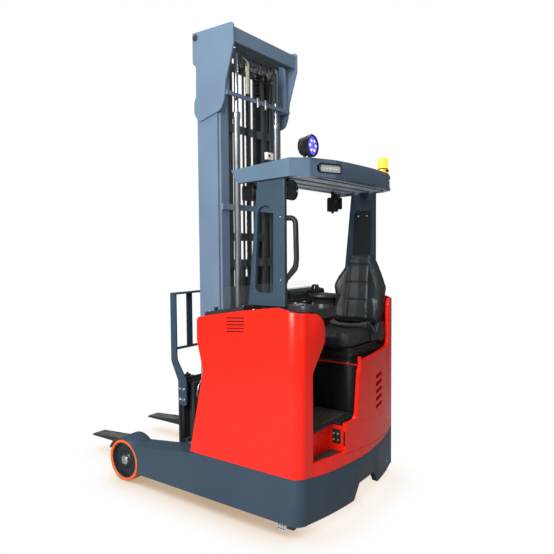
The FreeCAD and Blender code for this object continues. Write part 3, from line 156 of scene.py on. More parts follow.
def paintedMetal(name, colour, rough, coat, peel, vary, dust):
    # sprayed or powder-coated plate: faint clouding, orange peel, dust low down
    material, tree, shader = newMaterial(name)
    clouds = shades(tree, 2.2, colour, 1 - vary, 1 + vary)
    feed(tree, shader, {
        "Base Color": dusted(tree, clouds, (0.30, 0.27, 0.24), 0.02, 0.45, dust),
        "Roughness": shades(tree, 7.0, (rough,) * 3, 0.88, 1.15),
        "Specular IOR Level": 0.28, "Coat Weight": coat, "Coat Roughness": 0.06})
    bump(tree, shader, noiseOver(tree, 420.0, 2.0), peel, 0.0006)
    return material


def mouldedPlastic(name, colour, rough, grain=0.25, grainScale=900.0):
    # grained moulding: fine cells and a little handling shine
    material, tree, shader = newMaterial(name)
    feed(tree, shader, {
        "Base Color": shades(tree, 9.0, colour, 0.85, 1.2, high=0.75),
        "Roughness": shades(tree, 14.0, (rough,) * 3, 0.85, 1.2)})
    bump(tree, shader, cellsOver(tree, grainScale), grain, 0.0004)
    return material


def brightMetal(name, colour, rough, scratch=0.1, stretch=None):
    # turned or drawn metal with fine running marks
    material, tree, shader = newMaterial(name)
    feed(tree, shader, {
        "Base Color": shades(tree, 30.0, colour, 0.82, 1.1, stretch=stretch),
        "Roughness": shades(tree, 60.0, (rough,) * 3, 0.7, 1.4, stretch=stretch), "Metallic": 1.0})
    bump(tree, shader, noiseOver(tree, 300.0, 3.0, stretch), scratch, 0.0003)
    return material


def castRubber(name, colour, rough):
    material, tree, shader = newMaterial(name)
    tone = shades(tree, 18.0, colour, 0.8, 1.15)
    feed(tree, shader, {"Base Color": dusted(tree, tone, (0.20, 0.17, 0.14), 0.0, 0.10, 0.5),
                        "Roughness": rough})
    bump(tree, shader, noiseOver(tree, 240.0, 5.0), 0.2, 0.0008)
    return material


def leathercloth(name, colour):
    # pebbled grain, creases and a low sheen
    material, tree, shader = newMaterial(name)
    feed(tree, shader, {
        "Base Color": shades(tree, 12.0, colour, 0.8, 1.3),
        "Roughness": ramp(tree, noiseOver(tree, 22.0), [(0.3, (0.36,) * 3), (0.7, (0.52,) * 3)])})
    grain = cellsOver(tree, 520.0, "SMOOTH_F1")
    bump(tree, shader, arithmetic(tree, "ADD", grain, noiseOver(tree, 35.0, 6.0)), 0.35, 0.0012)
    return material


def clearPlastic(name, colour, rough, alpha):
    material, tree, shader = newMaterial(name)
    tone = shades(tree, 6.0, colour, 0.92, 1.05)
    feed(tree, shader, {"Base Color": tone, "Roughness": rough, "Alpha": alpha, "IOR": 1.45})
    return material


def glowing(name, colour, strength):
    # moulded lens over small lamps, brighter in cells
    material, tree, shader = newMaterial(name)
    tone = shades(tree, 60.0, colour, 0.8, 1.15, 0.35, 0.65)
    feed(tree, shader, {"Base Color": tone, "Emission Color": tone, "Emission Strength": strength,
                        "Roughness": 0.15})
    return material


def wornFork(name, black, rubbed):
    # black forks rubbed bright along the top by pallets
    material, tree, shader = newMaterial(name)
    upward = partsOf(tree, addNode(tree, "NewGeometry").outputs["Normal"])["Z"]
    rubbing = ramp(tree, noiseOver(tree, 16.0, 8.0, (3, 0.4, 1)), [(0.36, (0, 0, 0)), (0.6, (1, 1, 1))])
    patch = arithmetic(tree, "MULTIPLY", upward, rubbing, clamp=True)
    colour = mixed(tree, patch, (*black, 1), (*rubbed, 1))
    feed(tree, shader, {"Base Color": colour, "Metallic": patch, "Roughness": 0.42})
    bump(tree, shader, noiseOver(tree, 150.0, 5.0), 0.15, 0.0005)
    return material


def guardPaint(name, top, halfWide, rear, blue, pale):
    # the boards' undersides between the side beams are a paler coat than the band round them
    material, tree, shader = newMaterial(name)
    where = partsOf(tree, ownPlace(tree))
    facing = partsOf(tree, addNode(tree, "NewGeometry").outputs["Normal"])
    mask = arithmetic(tree, "LESS_THAN", where["Z"], top)
    for value, limit in ((where["Y"], at(0, rear, 0).y), (facing["Z"], -0.5),
                         (arithmetic(tree, "ABSOLUTE", where["X"]), halfWide)):
        mask = arithmetic(tree, "MULTIPLY", mask, arithmetic(tree, "LESS_THAN", value, limit))
    clouds, boards = [ramp(tree, noiseOver(tree, scale), [(0.3, less), (0.7, more)])
                      for scale, less, more in (blue, pale)]
    feed(tree, shader, {"Base Color": mixed(tree, mask, clouds, boards), "Roughness": 0.34,
                        "Specular IOR Level": 0.3, "Coat Weight": 0.1})
    bump(tree, shader, noiseOver(tree, 420.0, 2.0), 0.06, 0.0006)
    return material


recipes = {
    paintedMetal: {  # colour, roughness, clear coat, orange peel, clouding, dust
        "steelBlue": ((0.122, 0.178, 0.252), 0.38, 0.08, 0.06, 0.08, 0.0),
        "legBlue": ((0.030, 0.056, 0.084), 0.38, 0.04, 0.06, 0.08, 0.03),
        "pillarBlue": ((0.030, 0.054, 0.078), 0.36, 0.06, 0.06, 0.08, 0.0),
        # darker and greyer than steelBlue: painted shade for the stages inside the outer mast
        "stageBlue": ((0.078, 0.102, 0.112), 0.42, 0.0, 0.06, 0.15, 0.0),
        # a darker copy of the pillar blue for the right pillar's recess: painted shade
        "recessBlue": ((0.012, 0.018, 0.022), 0.45, 0.0, 0.06, 0.1, 0.0),
        "hubPaint": ((0.014, 0.020, 0.024), 0.42, 0.06, 0.06, 0.08, 0.0),
        "hoodRed": ((0.90, 0.016, 0.006), 0.26, 0.12, 0.012, 0.02, 0.0),
        "blackSteel": ((0.028, 0.032, 0.036), 0.45, 0.0, 0.06, 0.2, 0.35),
        "batteryTray": ((0.05, 0.055, 0.06), 0.5, 0.0, 0.06, 0.2, 0.35),
    },
    mouldedPlastic: {  # colour, roughness, grain and its scale
        "blackPlastic": ((0.016, 0.018, 0.019), 0.42),
        "deckPlastic": ((0.020, 0.021, 0.022), 0.48, 0.35, 600.0),
        "sleeveBlack": ((0.004, 0.005, 0.006), 0.62),
        "trayGrey": ((0.10, 0.105, 0.105), 0.35),
        "greyPlastic": ((0.026, 0.029, 0.031), 0.34),
        "glossBlack": ((0.008, 0.008, 0.009), 0.16, 0.04),
        "creamBox": ((0.62, 0.60, 0.50), 0.45, 0.1),
        "switchCream": ((0.80, 0.78, 0.64), 0.45, 0.1),
        # near black standing in for the shade inside slots, vents and holes: painted shade
        "darkInside": ((0.004, 0.004, 0.004), 0.8),
        "displayGlass": ((0.012, 0.018, 0.024), 0.08, 0.01),
        "darkLens": ((0.02, 0.022, 0.026), 0.10, 0.02),
    },
    brightMetal: {  # colour, roughness, scratches, how the marks are stretched
        "chrome": ((0.80, 0.82, 0.84), 0.10, 0.02, (1, 1, 0.02)),
        "zinc": ((0.58, 0.60, 0.62), 0.34, 0.12),
        "paleZinc": ((0.80, 0.82, 0.80), 0.42),
        "brass": ((0.72, 0.50, 0.20), 0.30),
        "bareSteel": ((0.42, 0.43, 0.44), 0.38, 0.1, (1, 1, 0.05)),
        "chainSteel": ((0.13, 0.13, 0.14), 0.45),
        "pipeSteel": ((0.36, 0.37, 0.38), 0.34),
    },
    castRubber: {  # colour, roughness
        "orangeTyre": ((0.86, 0.130, 0.012), 0.42),
        "blackTyre": ((0.022, 0.022, 0.023), 0.75),
        "bellows": ((0.020, 0.021, 0.022), 0.55),
        "hoseRubber": ((0.018, 0.018, 0.019), 0.60),
        "paleHose": ((0.42, 0.38, 0.30), 0.55),
        "treadMat": ((0.045, 0.036, 0.030), 0.80),
        "beltWeb": ((0.055, 0.060, 0.064), 0.7),
    },
    leathercloth: {"seatVinyl": ((0.017, 0.023, 0.027),)},
    clearPlastic: {  # colour, roughness, opacity
        "screenClear": ((0.60, 0.65, 0.67), 0.05, 0.05),
        "lensClear": ((0.80, 0.82, 0.80), 0.06, 0.30),
    },
    glowing: {  # colour, strength
        "amberLens": ((1.0, 0.42, 0.02), 1.2),
        "blueLens": ((0.10, 0.10, 0.95), 0.9),
        "blueDiode": ((0.45, 0.40, 1.0), 2.2),
        "lampGlass": ((0.86, 0.84, 0.78), 0.35),
    },
    wornFork: {"wornFork": ((0.022, 0.024, 0.026), (0.40, 0.39, 0.37))},  # paint, rubbed steel
    guardPaint: {  # the boards' top, half width and rear; then clouding of the band and of the boards
        "guardPaint": (2.2375, 0.612, 1641, (2.5, (0.076, 0.122, 0.176), (0.090, 0.144, 0.204)),
                       (3.0, (0.70, 0.78, 0.82), (0.80, 0.88, 0.92))),
    },
}
finishes = {name: make(name, *facts) for make, group in recipes.items() for name, facts in group.items()}

coats = {
    "legBlue": "leg_left leg_right rear_skirt load_backrest",
    "blackSteel": "chassis_frame drive_unit drive_hub free_lift_cylinder fork_carriage tilt_frame "
                  "shift_carriage",
    "batteryTray": "battery",
    "hoodRed": "side_panel_left side_panel_right rear_panel",
    "blackPlastic": "footwell seat_base dashboard steering_wheel grab_handle",
    "deckPlastic": "battery_deck",
    "screenClear": "mast_screen",
    "greyPlastic": "console",
    "bellows": "seat_suspension",
    "seatVinyl": "seat_cushion seat_backrest",
    "guardPaint": "overhead_guard",
    "pillarBlue": "pillar_left pillar_right",
    "glossBlack": "work_lamps",
    "amberLens": "beacon",
    "orangeTyre": "load_tyre_left load_tyre_right",
    "hubPaint": "load_hub_left load_hub_right",
    "blackTyre": "drive_tyre",
    "steelBlue": "outer_mast reach_carriage",
    # the inner stages' darker blue is painted shade of the mast's inside
    "stageBlue": "middle_mast inner_mast",
    "bareSteel": "lift_cylinders",
    "chrome": "lift_rods free_lift_rod",
    "wornFork": "fork_left fork_right",
}
edges = {
    "usual": 2.2,
    "wider": {"side_panel_left": 6, "side_panel_right": 6, "console": 5, "dashboard": 6,
              "seat_base": 8, "overhead_guard": 3, "rear_skirt": 3, "load_tyre_left": 7,
              "load_tyre_right": 7, "drive_tyre": 7},
    "plain": ("rear_panel", "mast_screen", "beacon", "chassis_frame", "seat_suspension", "lift_rods",
              "free_lift_rod"),
}


def roundEdges(item, width):
    edge = item.modifiers.new("edge", "BEVEL")
    edge.width = width / 1000
    edge.segments = 2
    edge.limit_method = "ANGLE"
    edge.angle_limit = math.radians(40)


for finish, names in coats.items():
    for name in names.split():
        nodes[name].data.materials.clear()
        nodes[name].data.materials.append(finishes[finish])
        if name not in edges["plain"]:  # painted plate never has a razor edge
            weld = nodes[name].modifiers.new("weld", "WELD")
            weld.merge_threshold = 0.00001
            roundEdges(nodes[name], edges["wider"].get(name, edges["usual"]))
print("finishes on the frame")


# small shape tools; their sizes, radii and edge widths are in millimetres

def turnTo(axis):
    return Vector((0, 0, 1)).rotation_difference(Vector(axis).normalized()).to_matrix().to_4x4()


def mm(x, y, z):
    return Vector((x / 1000, y / 1000, z / 1000))


def around(count, radius, along=0):
    # even places on a circle round Z
    turns = [2 * math.pi * step / count for step in range(count)]
    return [mm(radius * math.cos(turn), radius * math.sin(turn), along) for turn in turns]


def bridge(shape, rings, capped=True):
    # walls between rings of as many corners, and a face over each end
    for ring, following in zip(rings, rings[1:]):
        for step in range(len(ring)):
            ahead = (step + 1) % len(ring)
            shape.faces.new([ring[step], ring[ahead], following[ahead], following[step]])
    if capped:
        shape.faces.new(list(reversed(rings[0])))
        shape.faces.new(rings[-1])


def addBlock(shape, centre, size, turn=Matrix()):
    matrix = Matrix.Translation(centre) @ turn @ Matrix.Diagonal((*mm(*size), 1))
    bmesh.ops.create_cube(shape, size=1.0, matrix=matrix)


def blockBetween(shape, low, high):
    addBlock(shape, (at(*low) + at(*high)) / 2, [far - near for near, far in zip(low, high)])


def addDisc(shape, centre, axis, radius, depth, count, taper=1.0):
    matrix = Matrix.Translation(centre) @ turnTo(axis)
    bmesh.ops.create_cone(shape, cap_ends=True, segments=count, radius1=radius / 1000,
                          radius2=radius * taper / 1000, depth=depth / 1000, matrix=matrix)


def addTurned(shape, centre, axis, profile, count):
    # profile: (distance from the axis, place along it), open or closed on the axis
    matrix = Matrix.Translation(centre) @ turnTo(axis)
    rings = []
    for radius, along in profile:
        spots = around(count, radius, along) if radius else [mm(0, 0, along)]
        rings.append([shape.verts.new(matrix @ spot) for spot in spots])
    for ring, following in zip(rings, rings[1:]):
        for step in range(count):
            ahead = (step + 1) % count
            corners = [ring[step % len(ring)], ring[ahead % len(ring)],
                       following[ahead % len(following)], following[step % len(following)]]
            unique = list(dict.fromkeys(corners))
            if len(unique) > 2:
                shape.faces.new(unique)


def addRod(shape, points, radius, count):
    # straight steel pipe run through the points, mitred where it turns
    rings = []
    for index, point in enumerate(points):
        turn = turnTo(points[min(index + 1, len(points) - 1)] - points[max(index - 1, 0)])
        rings.append([shape.verts.new(point + turn @ spot) for spot in around(count, radius)])
    bridge(shape, rings)


def makePiece(name, shape, finish, body="root", edge=0.0, smooth=True):
    bmesh.ops.remove_doubles(shape, verts=shape.verts, dist=1e-7)
    bmesh.ops.recalc_face_normals(shape, faces=shape.faces)
    mesh = bpy.data.meshes.new(name)
    shape.to_mesh(mesh)
    shape.free()
    if smooth:
        mesh.shade_smooth()
        mesh.set_sharp_from_angle(angle=math.radians(38))
    mesh.materials.append(finishes[finish])
    piece = bpy.data.objects.new(name, mesh)
    bpy.context.scene.collection.objects.link(piece)
    if edge:
        roundEdges(piece, edge)
    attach(piece, body)
    return piece


def blockPiece(name, blocks, finish, body="root", edge=0.0):
    # blocks by their low and high corners
    shape = bmesh.new()
    for low, high in blocks:
        blockBetween(shape, low, high)
    return makePiece(name, shape, finish, body, edge)


def turnedPiece(name, spots, axis, profile, count, finish, body="root"):
    shape = bmesh.new()
    for spot in spots:
        addTurned(shape, spot, axis, profile, count)
    return makePiece(name, shape, finish, body)


def strand(name, points, radius, count, finish, body="root"):
    shape = bmesh.new()
    addRod(shape, points, radius, count)
    return makePiece(name, shape, finish, body)


def hexBolts(name, places, axis, radius, body="root"):
    # flanged hexagon heads standing on a face
    shape = bmesh.new()
    step = Vector(axis).normalized() * radius / 1000
    for place in places:
        addDisc(shape, place + step * 0.12, axis, radius * 1.25, radius * 0.24, 18)
        addDisc(shape, place + step * 0.6, axis, radius, radius * 0.8, 6, 0.94)
        addDisc(shape, place + step * 1.02, axis, radius * 0.72, radius * 0.06, 14)
    return makePiece(name, shape, "zinc", body, radius * 0.06)


def capScrews(name, places, axis, radius):
    # round heads with a driving recess
    profile = [(1.02, 0), (1, 0.35), (0.7, 0.62), (0.35, 0.62), (0.3, 0.3), (0, 0.3)]
    return turnedPiece(name, places, axis, [(radius * u, radius * v) for u, v in profile], 16, "zinc")


# wheels

wheel = {"ringRadii": (74, 100, 122), "ringStep": 30, "capStep": 44, "boltStep": 48, "bolt": 12}


def dressWheel(side):
    # turned rings in the dish, centre cap and axle bolt
    low, high = boxOf("load_tyre_" + side)
    centre = (low + high) / 2
    out = Vector((math.copysign(0.001, centre.x), 0, 0))  # a millimetre outwards
    body = "load_wheel_" + side
    shape = bmesh.new()
    for radius in wheel["ringRadii"]:
        addTurned(shape, centre + out * wheel["ringStep"], out, [
            (radius + 4, -1), (radius + 3, 2.2), (radius - 3, 2.2), (radius - 4, -1)], 48)
    makePiece("hub_rings_" + side, shape, "hubPaint", body)
    turnedPiece("axle_cap_" + side, [centre + out * wheel["capStep"]], out, [
        (0, 4.5), (14, 4.5), (18, 3), (30, 3), (34, 1), (36, -2)], 36, "zinc", body)
    hexBolts("axle_bolt_" + side, [centre + out * wheel["boltStep"]], out, wheel["bolt"], body)


dressWheel("left")
dressWheel("right")


# forks

latch = {"back": 20, "plate": (45, 30, 18), "lift": 10, "knobLift": 18}


def dressFork(label):
    # latch with its knob on the fork's hook
    low, high = boxOf("fork_" + label)
    spot = Vector(((low.x + high.x) / 2, high.y, high.z)) - mm(0, latch["back"], 0)
    shape = bmesh.new()
    addBlock(shape, spot + mm(0, 0, latch["lift"]), latch["plate"])
    addTurned(shape, spot + mm(0, 0, latch["knobLift"]), (0, 0, 1), [(9, 0), (8, 16), (0, 18)], 16)
    makePiece("fork_latch_" + label, shape, "blackSteel", "side_shift", 3)


dressFork("left")
dressFork("right")


# mast chains and hoses

chain = {"pitch": 25.4, "plates": 4, "plateThick": 2, "gap": 2.2, "halfHigh": 7.8,
         "pinRadius": 4.2, "pinLong": 21.5}


def chainLink(shape, centre, along, length, shifted):
    # side plates of one joint, rounded at both ends, and its pin
    turn = turnTo(along)
    half = chain["halfHigh"]
    outline = []
    for number in range(8):
        angle = math.pi * (number if number < 4 else number - 1) / 3
        end = length / 2 if number < 4 else -length / 2
        outline.append(turn @ mm(0, half * math.cos(angle), end + half * 0.6 * math.sin(angle)))
    for layer in range(chain["plates"]):
        across = (2 * layer + 1 - chain["plates"] + (0.5 if shifted else -0.5)) * chain["gap"]
        bridge(shape, [[shape.verts.new(centre + corner + mm(across + edge * chain["plateThick"], 0, 0))
                        for corner in outline] for edge in (-0.5, 0.5)])
    addDisc(shape, centre + turn @ mm(0, 0, length / 2), (1, 0, 0), chain["pinRadius"], chain["pinLong"], 8)


def leafChain(name, route, body):
    # joints at even steps along the route
    shape = bmesh.new()
    spans = [(ahead - before).length for before, ahead in zip(route, route[1:])]
    count = int(sum(spans) * 1000 / chain["pitch"])
    step = sum(spans) / count
    travelled = step / 2
    leg = 0
    passed = 0
    for number in range(count):
        while leg < len(spans) - 1 and travelled > passed + spans[leg]:
            passed += spans[leg]
            leg += 1
        along = (route[leg + 1] - route[leg]).normalized()
        chainLink(shape, route[leg] + along * (travelled - passed), along, step * 1000, number % 2 == 1)
        travelled += step
    return makePiece(name, shape, "chainSteel", body, 0.0, False)


sheave = {"y": 802, "z": 3110, "low": 402, "tail": 2905,
          "chainX": 48, "chainRadius": 52, "chainRear": 750, "chainFront": 854, "chainSteps": 12,
          "hoseX": 170, "hoseRadius": 52.5, "hoseRear": 751, "hoseFront": 855, "hoseSteps": 14,
          "hoseGap": 8, "hose": 7.6}


def overSheave(x, kind):
    # up behind the sheave, over its top and down in front of it
    centre = at(x, sheave["y"], sheave["z"])
    rear = sheave[kind + "Rear"]
    count = sheave[kind + "Steps"]
    route = [at(x, rear, sheave["low"]), at(x, rear, sheave["z"])]
    for number in range(1, count + 1):
        turn = math.pi * (1 - number / count)
        route.append(centre + sheave[kind + "Radius"] * mm(0, math.cos(turn), math.sin(turn)))
    route.append(at(x, sheave[kind + "Front"], sheave["tail"]))
    return route


def dressSheaves(side, label):
    x = side * sheave["chainX"]
    y = sheave["chainFront"]
    leafChain("lift_chain_" + label, overSheave(x, "chain"), "middle_mast")
    shape = bmesh.new()
    blockBetween(shape, (x - 13, y - 8, 2862), (x + 13, y + 8, 2900))
    addRod(shape, [at(x, y, 2830), at(x, y, 2870)], 8, 14)
    addDisc(shape, at(x, y, 2846), (0, 0, 1), 14, 12, 6)
    makePiece("chain_anchor_" + label, shape, "zinc", "reach_carriage", 2)
    for number, offset in enumerate((-sheave["hoseGap"], sheave["hoseGap"])):
        strand("mast_hose_%s_%d" % (label, number + 1), overSheave(side * sheave["hoseX"] + offset, "hose"),
               sheave["hose"], 12, "paleHose" if side > 0 else "hoseRubber", "middle_mast")
    for kind, wide, metal in (("chain", 26, "zinc"), ("hose", 34, "brass")):
        shape = bmesh.new()
        for end in (1, -1):
            spot = at(side * sheave[kind + "X"] + end * (wide / 2 + 9), sheave["y"], sheave["z"])
            addTurned(shape, spot, (end, 0, 0), [(14, -1), (14, 4), (10, 6), (0, 6)], 18)
        makePiece("sheave_pin_%s_%s" % (kind, label), shape, metal, "middle_mast")


for side, label in sides:
    dressSheaves(side, label)
print("wheels, forks, chains and hoses done")


# carriage hydraulics

valve = {"face": 481, "pipe": 7.5, "piped": 4,
         "ports": [(262, 640), (286, 640), (310, 640), (330, 640), (274, 700), (318, 700)],
         "supplyX": 340, "supplyY": (500, 540), "supplyZ": 665}


def smoothRun(points, count):
    # a smooth run through a few given points
    spots = [points[0], *points, points[-1]]
    run = []
    for index in range(1, len(spots) - 2):
        before, start, end, after = spots[index - 1:index + 3]
        for number in range(count):
            t = number / count
            run.append(0.5 * ((2 * start) + (end - before) * t
                              + (2 * before - 5 * start + 4 * end - after) * t * t
                              + (3 * start - before - 3 * end + after) * t ** 3))
    run.append(points[-1])
    return run


def bentPipe(name, places, body):
    run = smoothRun([at(*place) for place in places], 18)
    strand(name, run, valve["pipe"], 12, "pipeSteel", body)


def fitting(shape, spot, axis):
    # hexagon union with its ferrule
    addDisc(shape, spot + mm(*axis) * 8, axis, 12.5, 16, 6)
    addDisc(shape, spot + mm(*axis) * 26, axis, 10.2, 22, 14)


def dressValve():
    shape = bmesh.new()
    for x, z in valve["ports"]:
        fitting(shape, at(x, valve["face"], z), (0, -1, 0))
    for y in valve["supplyY"]:
        fitting(shape, at(valve["supplyX"], y, valve["supplyZ"]), (1, 0, 0))
    makePiece("valve_fittings", shape, "zinc", "fork_carriage", 0.8)
    for number, (x, z) in enumerate(valve["ports"][:valve["piped"]]):
        low = 520 - 14 * number
        bentPipe("valve_pipe_%d" % (number + 1), [
            (x, 451, z), (x + 2, 436, z - 30), (x + 4, 440, low + 40),
            (x - 30 - number * 18, 458, low)], "fork_carriage")
    for number, y in enumerate(valve["supplyY"]):
        bentPipe("supply_pipe_%d" % (number + 1), [
            (368, y, 665), (373, y + 1, 690), (352, y + 1, 750 + 12 * number),
            (296 - 30 * number, y + 3, 792 + 8 * number), (190, y + 20, 780)], "fork_carriage")


dressValve()
places = [at(side * x, 366, z) for side, label in sides for x in (60, 180) for z in (745, 275)]
hexBolts("carriage_bolts", places, (0, -1, 0), 10, "side_shift")
for side, label in sides:
    hexBolts("backrest_bolts_" + label, [at(side * 452, y, z) for y in (395, 436) for z in (645, 725)],
             (side, 0, 0), 9.5, "side_shift")
print("carriage hydraulics done")


# controls

disc = {"centre": (240, 1530, 1467), "radius": 95, "rim": 10.5, "spokes": 5, "knob": (260, 1480, 1474),
        "boot": (240, 1530, 1418), "folds": 6}
tray = {"keys": (484, 1352, 1418.5), "keyRows": 2, "keyColumns": 3, "cup": (518, 1522, 1430),
        "switches": ((566, 1600, 1430), (478, 1600, 1430))}
display = {"face": 1159, "screens": ((-300, -120, 1420, 1462, 10, 7, 6), (130, 212, 1440, 1484, 6, 6, 6)),
           "keys": 8, "firstKey": -100, "keyPitch": 20, "slotShades": 14, "firstSlot": -380, "slotPitch": 30}


def dressDisc():
    # soft rim over the steering disc, ribbed hub and the knob's cap
    centre = at(*disc["centre"])
    turns = [2 * math.pi * step / 14 for step in range(15)]
    inner = disc["radius"] - 9
    turnedPiece("disc_rim", [centre], (0, 0, 1), [
        (inner + disc["rim"] * math.cos(turn), disc["rim"] * math.sin(turn)) for turn in turns],
        56, "blackPlastic")
    shape = bmesh.new()
    addTurned(shape, centre + mm(0, 0, 9.2), (0, 0, 1), [
        (74, 0), (70, 3), (40, 4), (38, 6.5), (30, 9), (0, 9.8)], 48)
    for step, spot in enumerate(around(disc["spokes"], 56, 12.5)):
        spin = Matrix.Rotation(2 * math.pi * step / disc["spokes"], 4, "Z")
        addBlock(shape, centre + spot, (30, 12, 4), spin)
    makePiece("disc_hub", shape, "greyPlastic", edge=0.8)
    turnedPiece("spinner_knob", [at(*disc["knob"])], (0, 0, 1), [
        (25.5, 0), (26.5, 12), (26.2, 46), (22.5, 60), (12, 66.5), (0, 67.5)], 36, "glossBlack")


def dressTray():
    # rocker keys, cup liner and switches on the side console
    x, y, z = tray["keys"]
    shape = bmesh.new()
    for row in range(tray["keyRows"]):
        for column in range(tray["keyColumns"]):
            addBlock(shape, at(x + 15 * row, y + 17 * column, z), (11, 13, 6),
                     Matrix.Rotation(math.radians(6), 4, "X"))
    makePiece("tray_keys", shape, "blackPlastic", edge=1.2)
    turnedPiece("cup_liner", [at(*tray["cup"])], (0, 0, 1), [
        (45.5, 0.4), (45, 4), (39.5, 4.4), (36.5, 0), (36, -58), (0, -60.5)], 40, "trayGrey")
    turnedPiece("tray_switches", [at(*place) for place in tray["switches"]], (0, 0, 1), [
        (12, 0.5), (12, 6), (8, 14), (0, 16)], 24, "blackPlastic")


def discBoot():
    # folded boot under the steering disc
    folds = []
    for fold in range(disc["folds"]):
        folds += [(74 - 3 * fold, 6 * fold), (68 - 3 * fold, 6 * fold + 3)]
    turnedPiece("disc_boot", [at(*disc["boot"])], (0, 0, 1), folds, 36, "bellows")


def dressDashboard():
    # displays with their bezels, round keys, and painted shade in the housing's slots
    face = display["face"]
    screens = display["screens"]
    bezels = [((left, face, low), (right, face + 4, high)) for left, right, low, high, *rim in screens]
    blockPiece("display_bezel", bezels, "glossBlack", edge=1.2)
    glasses = [((left + rim, face + 2, low + foot), (right - rim, face + 5.2, high - head))
               for left, right, low, high, rim, foot, head in screens]
    blockPiece("display_glass", glasses, "displayGlass", edge=0.6)
    spots = [at(display["firstKey"] + display["keyPitch"] * number, face + 1, 1438)
             for number in range(display["keys"])]
    turnedPiece("display_keys", spots, (0, 1, 0), [(7.5, -1), (7.2, 2.8), (5, 3.8), (0, 4)], 18,
                "greyPlastic")
    # dark blocks in the defroster slots: painted shade
    starts = [display["firstSlot"] + display["slotPitch"] * number for number in range(display["slotShades"])]
    slotShades = [((x, 1075, 1477.5), (x + 16, 1082, 1481)) for x in starts]
    blockPiece("defroster_slot_shade", slotShades, "darkInside", edge=0.6)


dressDisc()
dressTray()
discBoot()
dressDashboard()
print("controls done")


# floor, step and sockets

mat = {"ribPitch": 14, "ribWide": 6, "ribHigh": 2.5, "thick": 3, "floor": ((24, 1132, 635.2), (540, 1592)),
       "stepX": 262, "stepY": (1584, 1664), "stepZ": 446.2, "bowRear": 1680, "bowRadius": 2303}
socket = {"y": (1616, 1646), "z": (520, 562)}


def floorMat():
    # rubber mat with raised ribs along X
    (left, front, floor), (right, rear) = mat["floor"]
    top = floor + mat["thick"]
    blocks = [((left, front, floor), (right, rear, top))]
    y = front + mat["ribPitch"]
    while y < rear - mat["ribPitch"]:
        blocks.append(((left + 10, y, top - 0.5), (right - 10, y + mat["ribWide"], top + mat["ribHigh"])))
        y += mat["ribPitch"]
    blockPiece("floor_mat", blocks, "treadMat", edge=0.8)


def stepMat():
    # ribs on the lower step, each as long as the bowed rear wall leaves room for
    left, floor = mat["stepX"], mat["stepZ"]
    top = floor + 2.8
    blocks = []
    y, rear = mat["stepY"]
    while y < rear:
        reach = min(548, math.sqrt((mat["bowRear"] - y) * 2 * mat["bowRadius"]))
        blocks.append(((left, y, floor), (reach - 12, y + mat["ribPitch"] - 1, top)))
        blocks.append(((left + 8, y + 3, top - 0.5), (reach - 20, y + 9, top + mat["ribHigh"])))
        y += mat["ribPitch"]
    blockPiece("step_mat", blocks, "treadMat", edge=0.8)


def dressSocket():
    # battery socket beside the step, painted shade in the cover's latch slot, and the screws and bolts above
    blockPiece("socket_plate", [((243, 1600, 493), (246.5, 1662, 590))], "blackPlastic", edge=1.5)
    turnedPiece("socket_shells", [at(246, y, z) for y in socket["y"] for z in socket["z"]], (1, 0, 0), [
        (12.5, 0), (12.5, 9), (10, 9.5), (9.5, 3), (0, 3)], 22, "blackPlastic")
    shape = bmesh.new()
    for y in socket["y"]:
        for z in socket["z"]:
            addDisc(shape, at(250.5, y, z), (1, 0, 0), 4.5, 10, 12)
    makePiece("socket_pins", shape, "creamBox")
    # dark block in the latch slot: painted shade
    blockPiece("latch_slot_shade", [((242.5, 1682, 484), (244.5, 1696, 582))], "darkInside", edge=2)
    capScrews("trim_screws", [at(5, 1290, 975), at(5, 1590, 975)], (1, 0, 0), 4.2)
    hexBolts("bellows_bolts", [at(-3, y, 984) for y in (1260, 1420, 1580)], (1, 0, 0), 6)


floorMat()
stepMat()
dressSocket()
print("floor, step and sockets done")


# seat

seat = {"voxel": 0.006, "pressure": 4.0, "swell": 0.014, "frames": 20, "calm": 7, "grooveDepth": 0.006,
        "grooveWidth": 0.009, "fill": 0.8, "middle": 1419}
belt = {"wide": 0.046, "thick": 0.0026,
        "route": [(-400, 1236, 1196), (-345, 1258, 1214), (-300, 1330, 1206), (-285, 1420, 1204),
                  (-290, 1510, 1212), (-300, 1570, 1222), (-318, 1606, 1206), (-340, 1628, 1160)]}


def applied(item):
    # bakes an object's modifiers into its mesh
    graph = bpy.context.evaluated_depsgraph_get()
    mesh = bpy.data.meshes.new_from_object(item.evaluated_get(graph))
    item.modifiers.clear()
    item.data = mesh


def remeshed(item):
    grid = item.modifiers.new("grid", "REMESH")
    grid.mode = "VOXEL"
    grid.voxel_size = seat["voxel"]
    applied(item)


def swollen(item, pinned):
    # air pressure rounds the foam out between its held points
    before = [vertex.co.copy() for vertex in item.data.vertices]
    group = item.vertex_groups.new(name="held")
    group.add([vertex.index for vertex in item.data.vertices if pinned(vertex.co)], 1.0, "REPLACE")
    cloth = item.modifiers.new("foam", "CLOTH")
    cloth.settings.use_pressure = True
    cloth.settings.uniform_pressure_force = seat["pressure"]
    cloth.settings.effector_weights.gravity = 0.0
    cloth.settings.vertex_group_mass = "held"
    cloth.settings.quality = 4
    cloth.point_cache.frame_start = 1
    cloth.point_cache.frame_end = seat["frames"]
    scene = bpy.context.scene
    for frameNumber in range(1, seat["frames"] + 1):
        scene.frame_set(frameNumber)
    applied(item)
    scene.frame_set(1)
    for vertex, start in zip(item.data.vertices, before):
        step = vertex.co - start
        if step.length > seat["swell"]:
            vertex.co = start + step * seat["swell"] / step.length
    calm = item.modifiers.new("calm", "SMOOTH")
    calm.factor = 0.5
    calm.iterations = seat["calm"]
    applied(item)


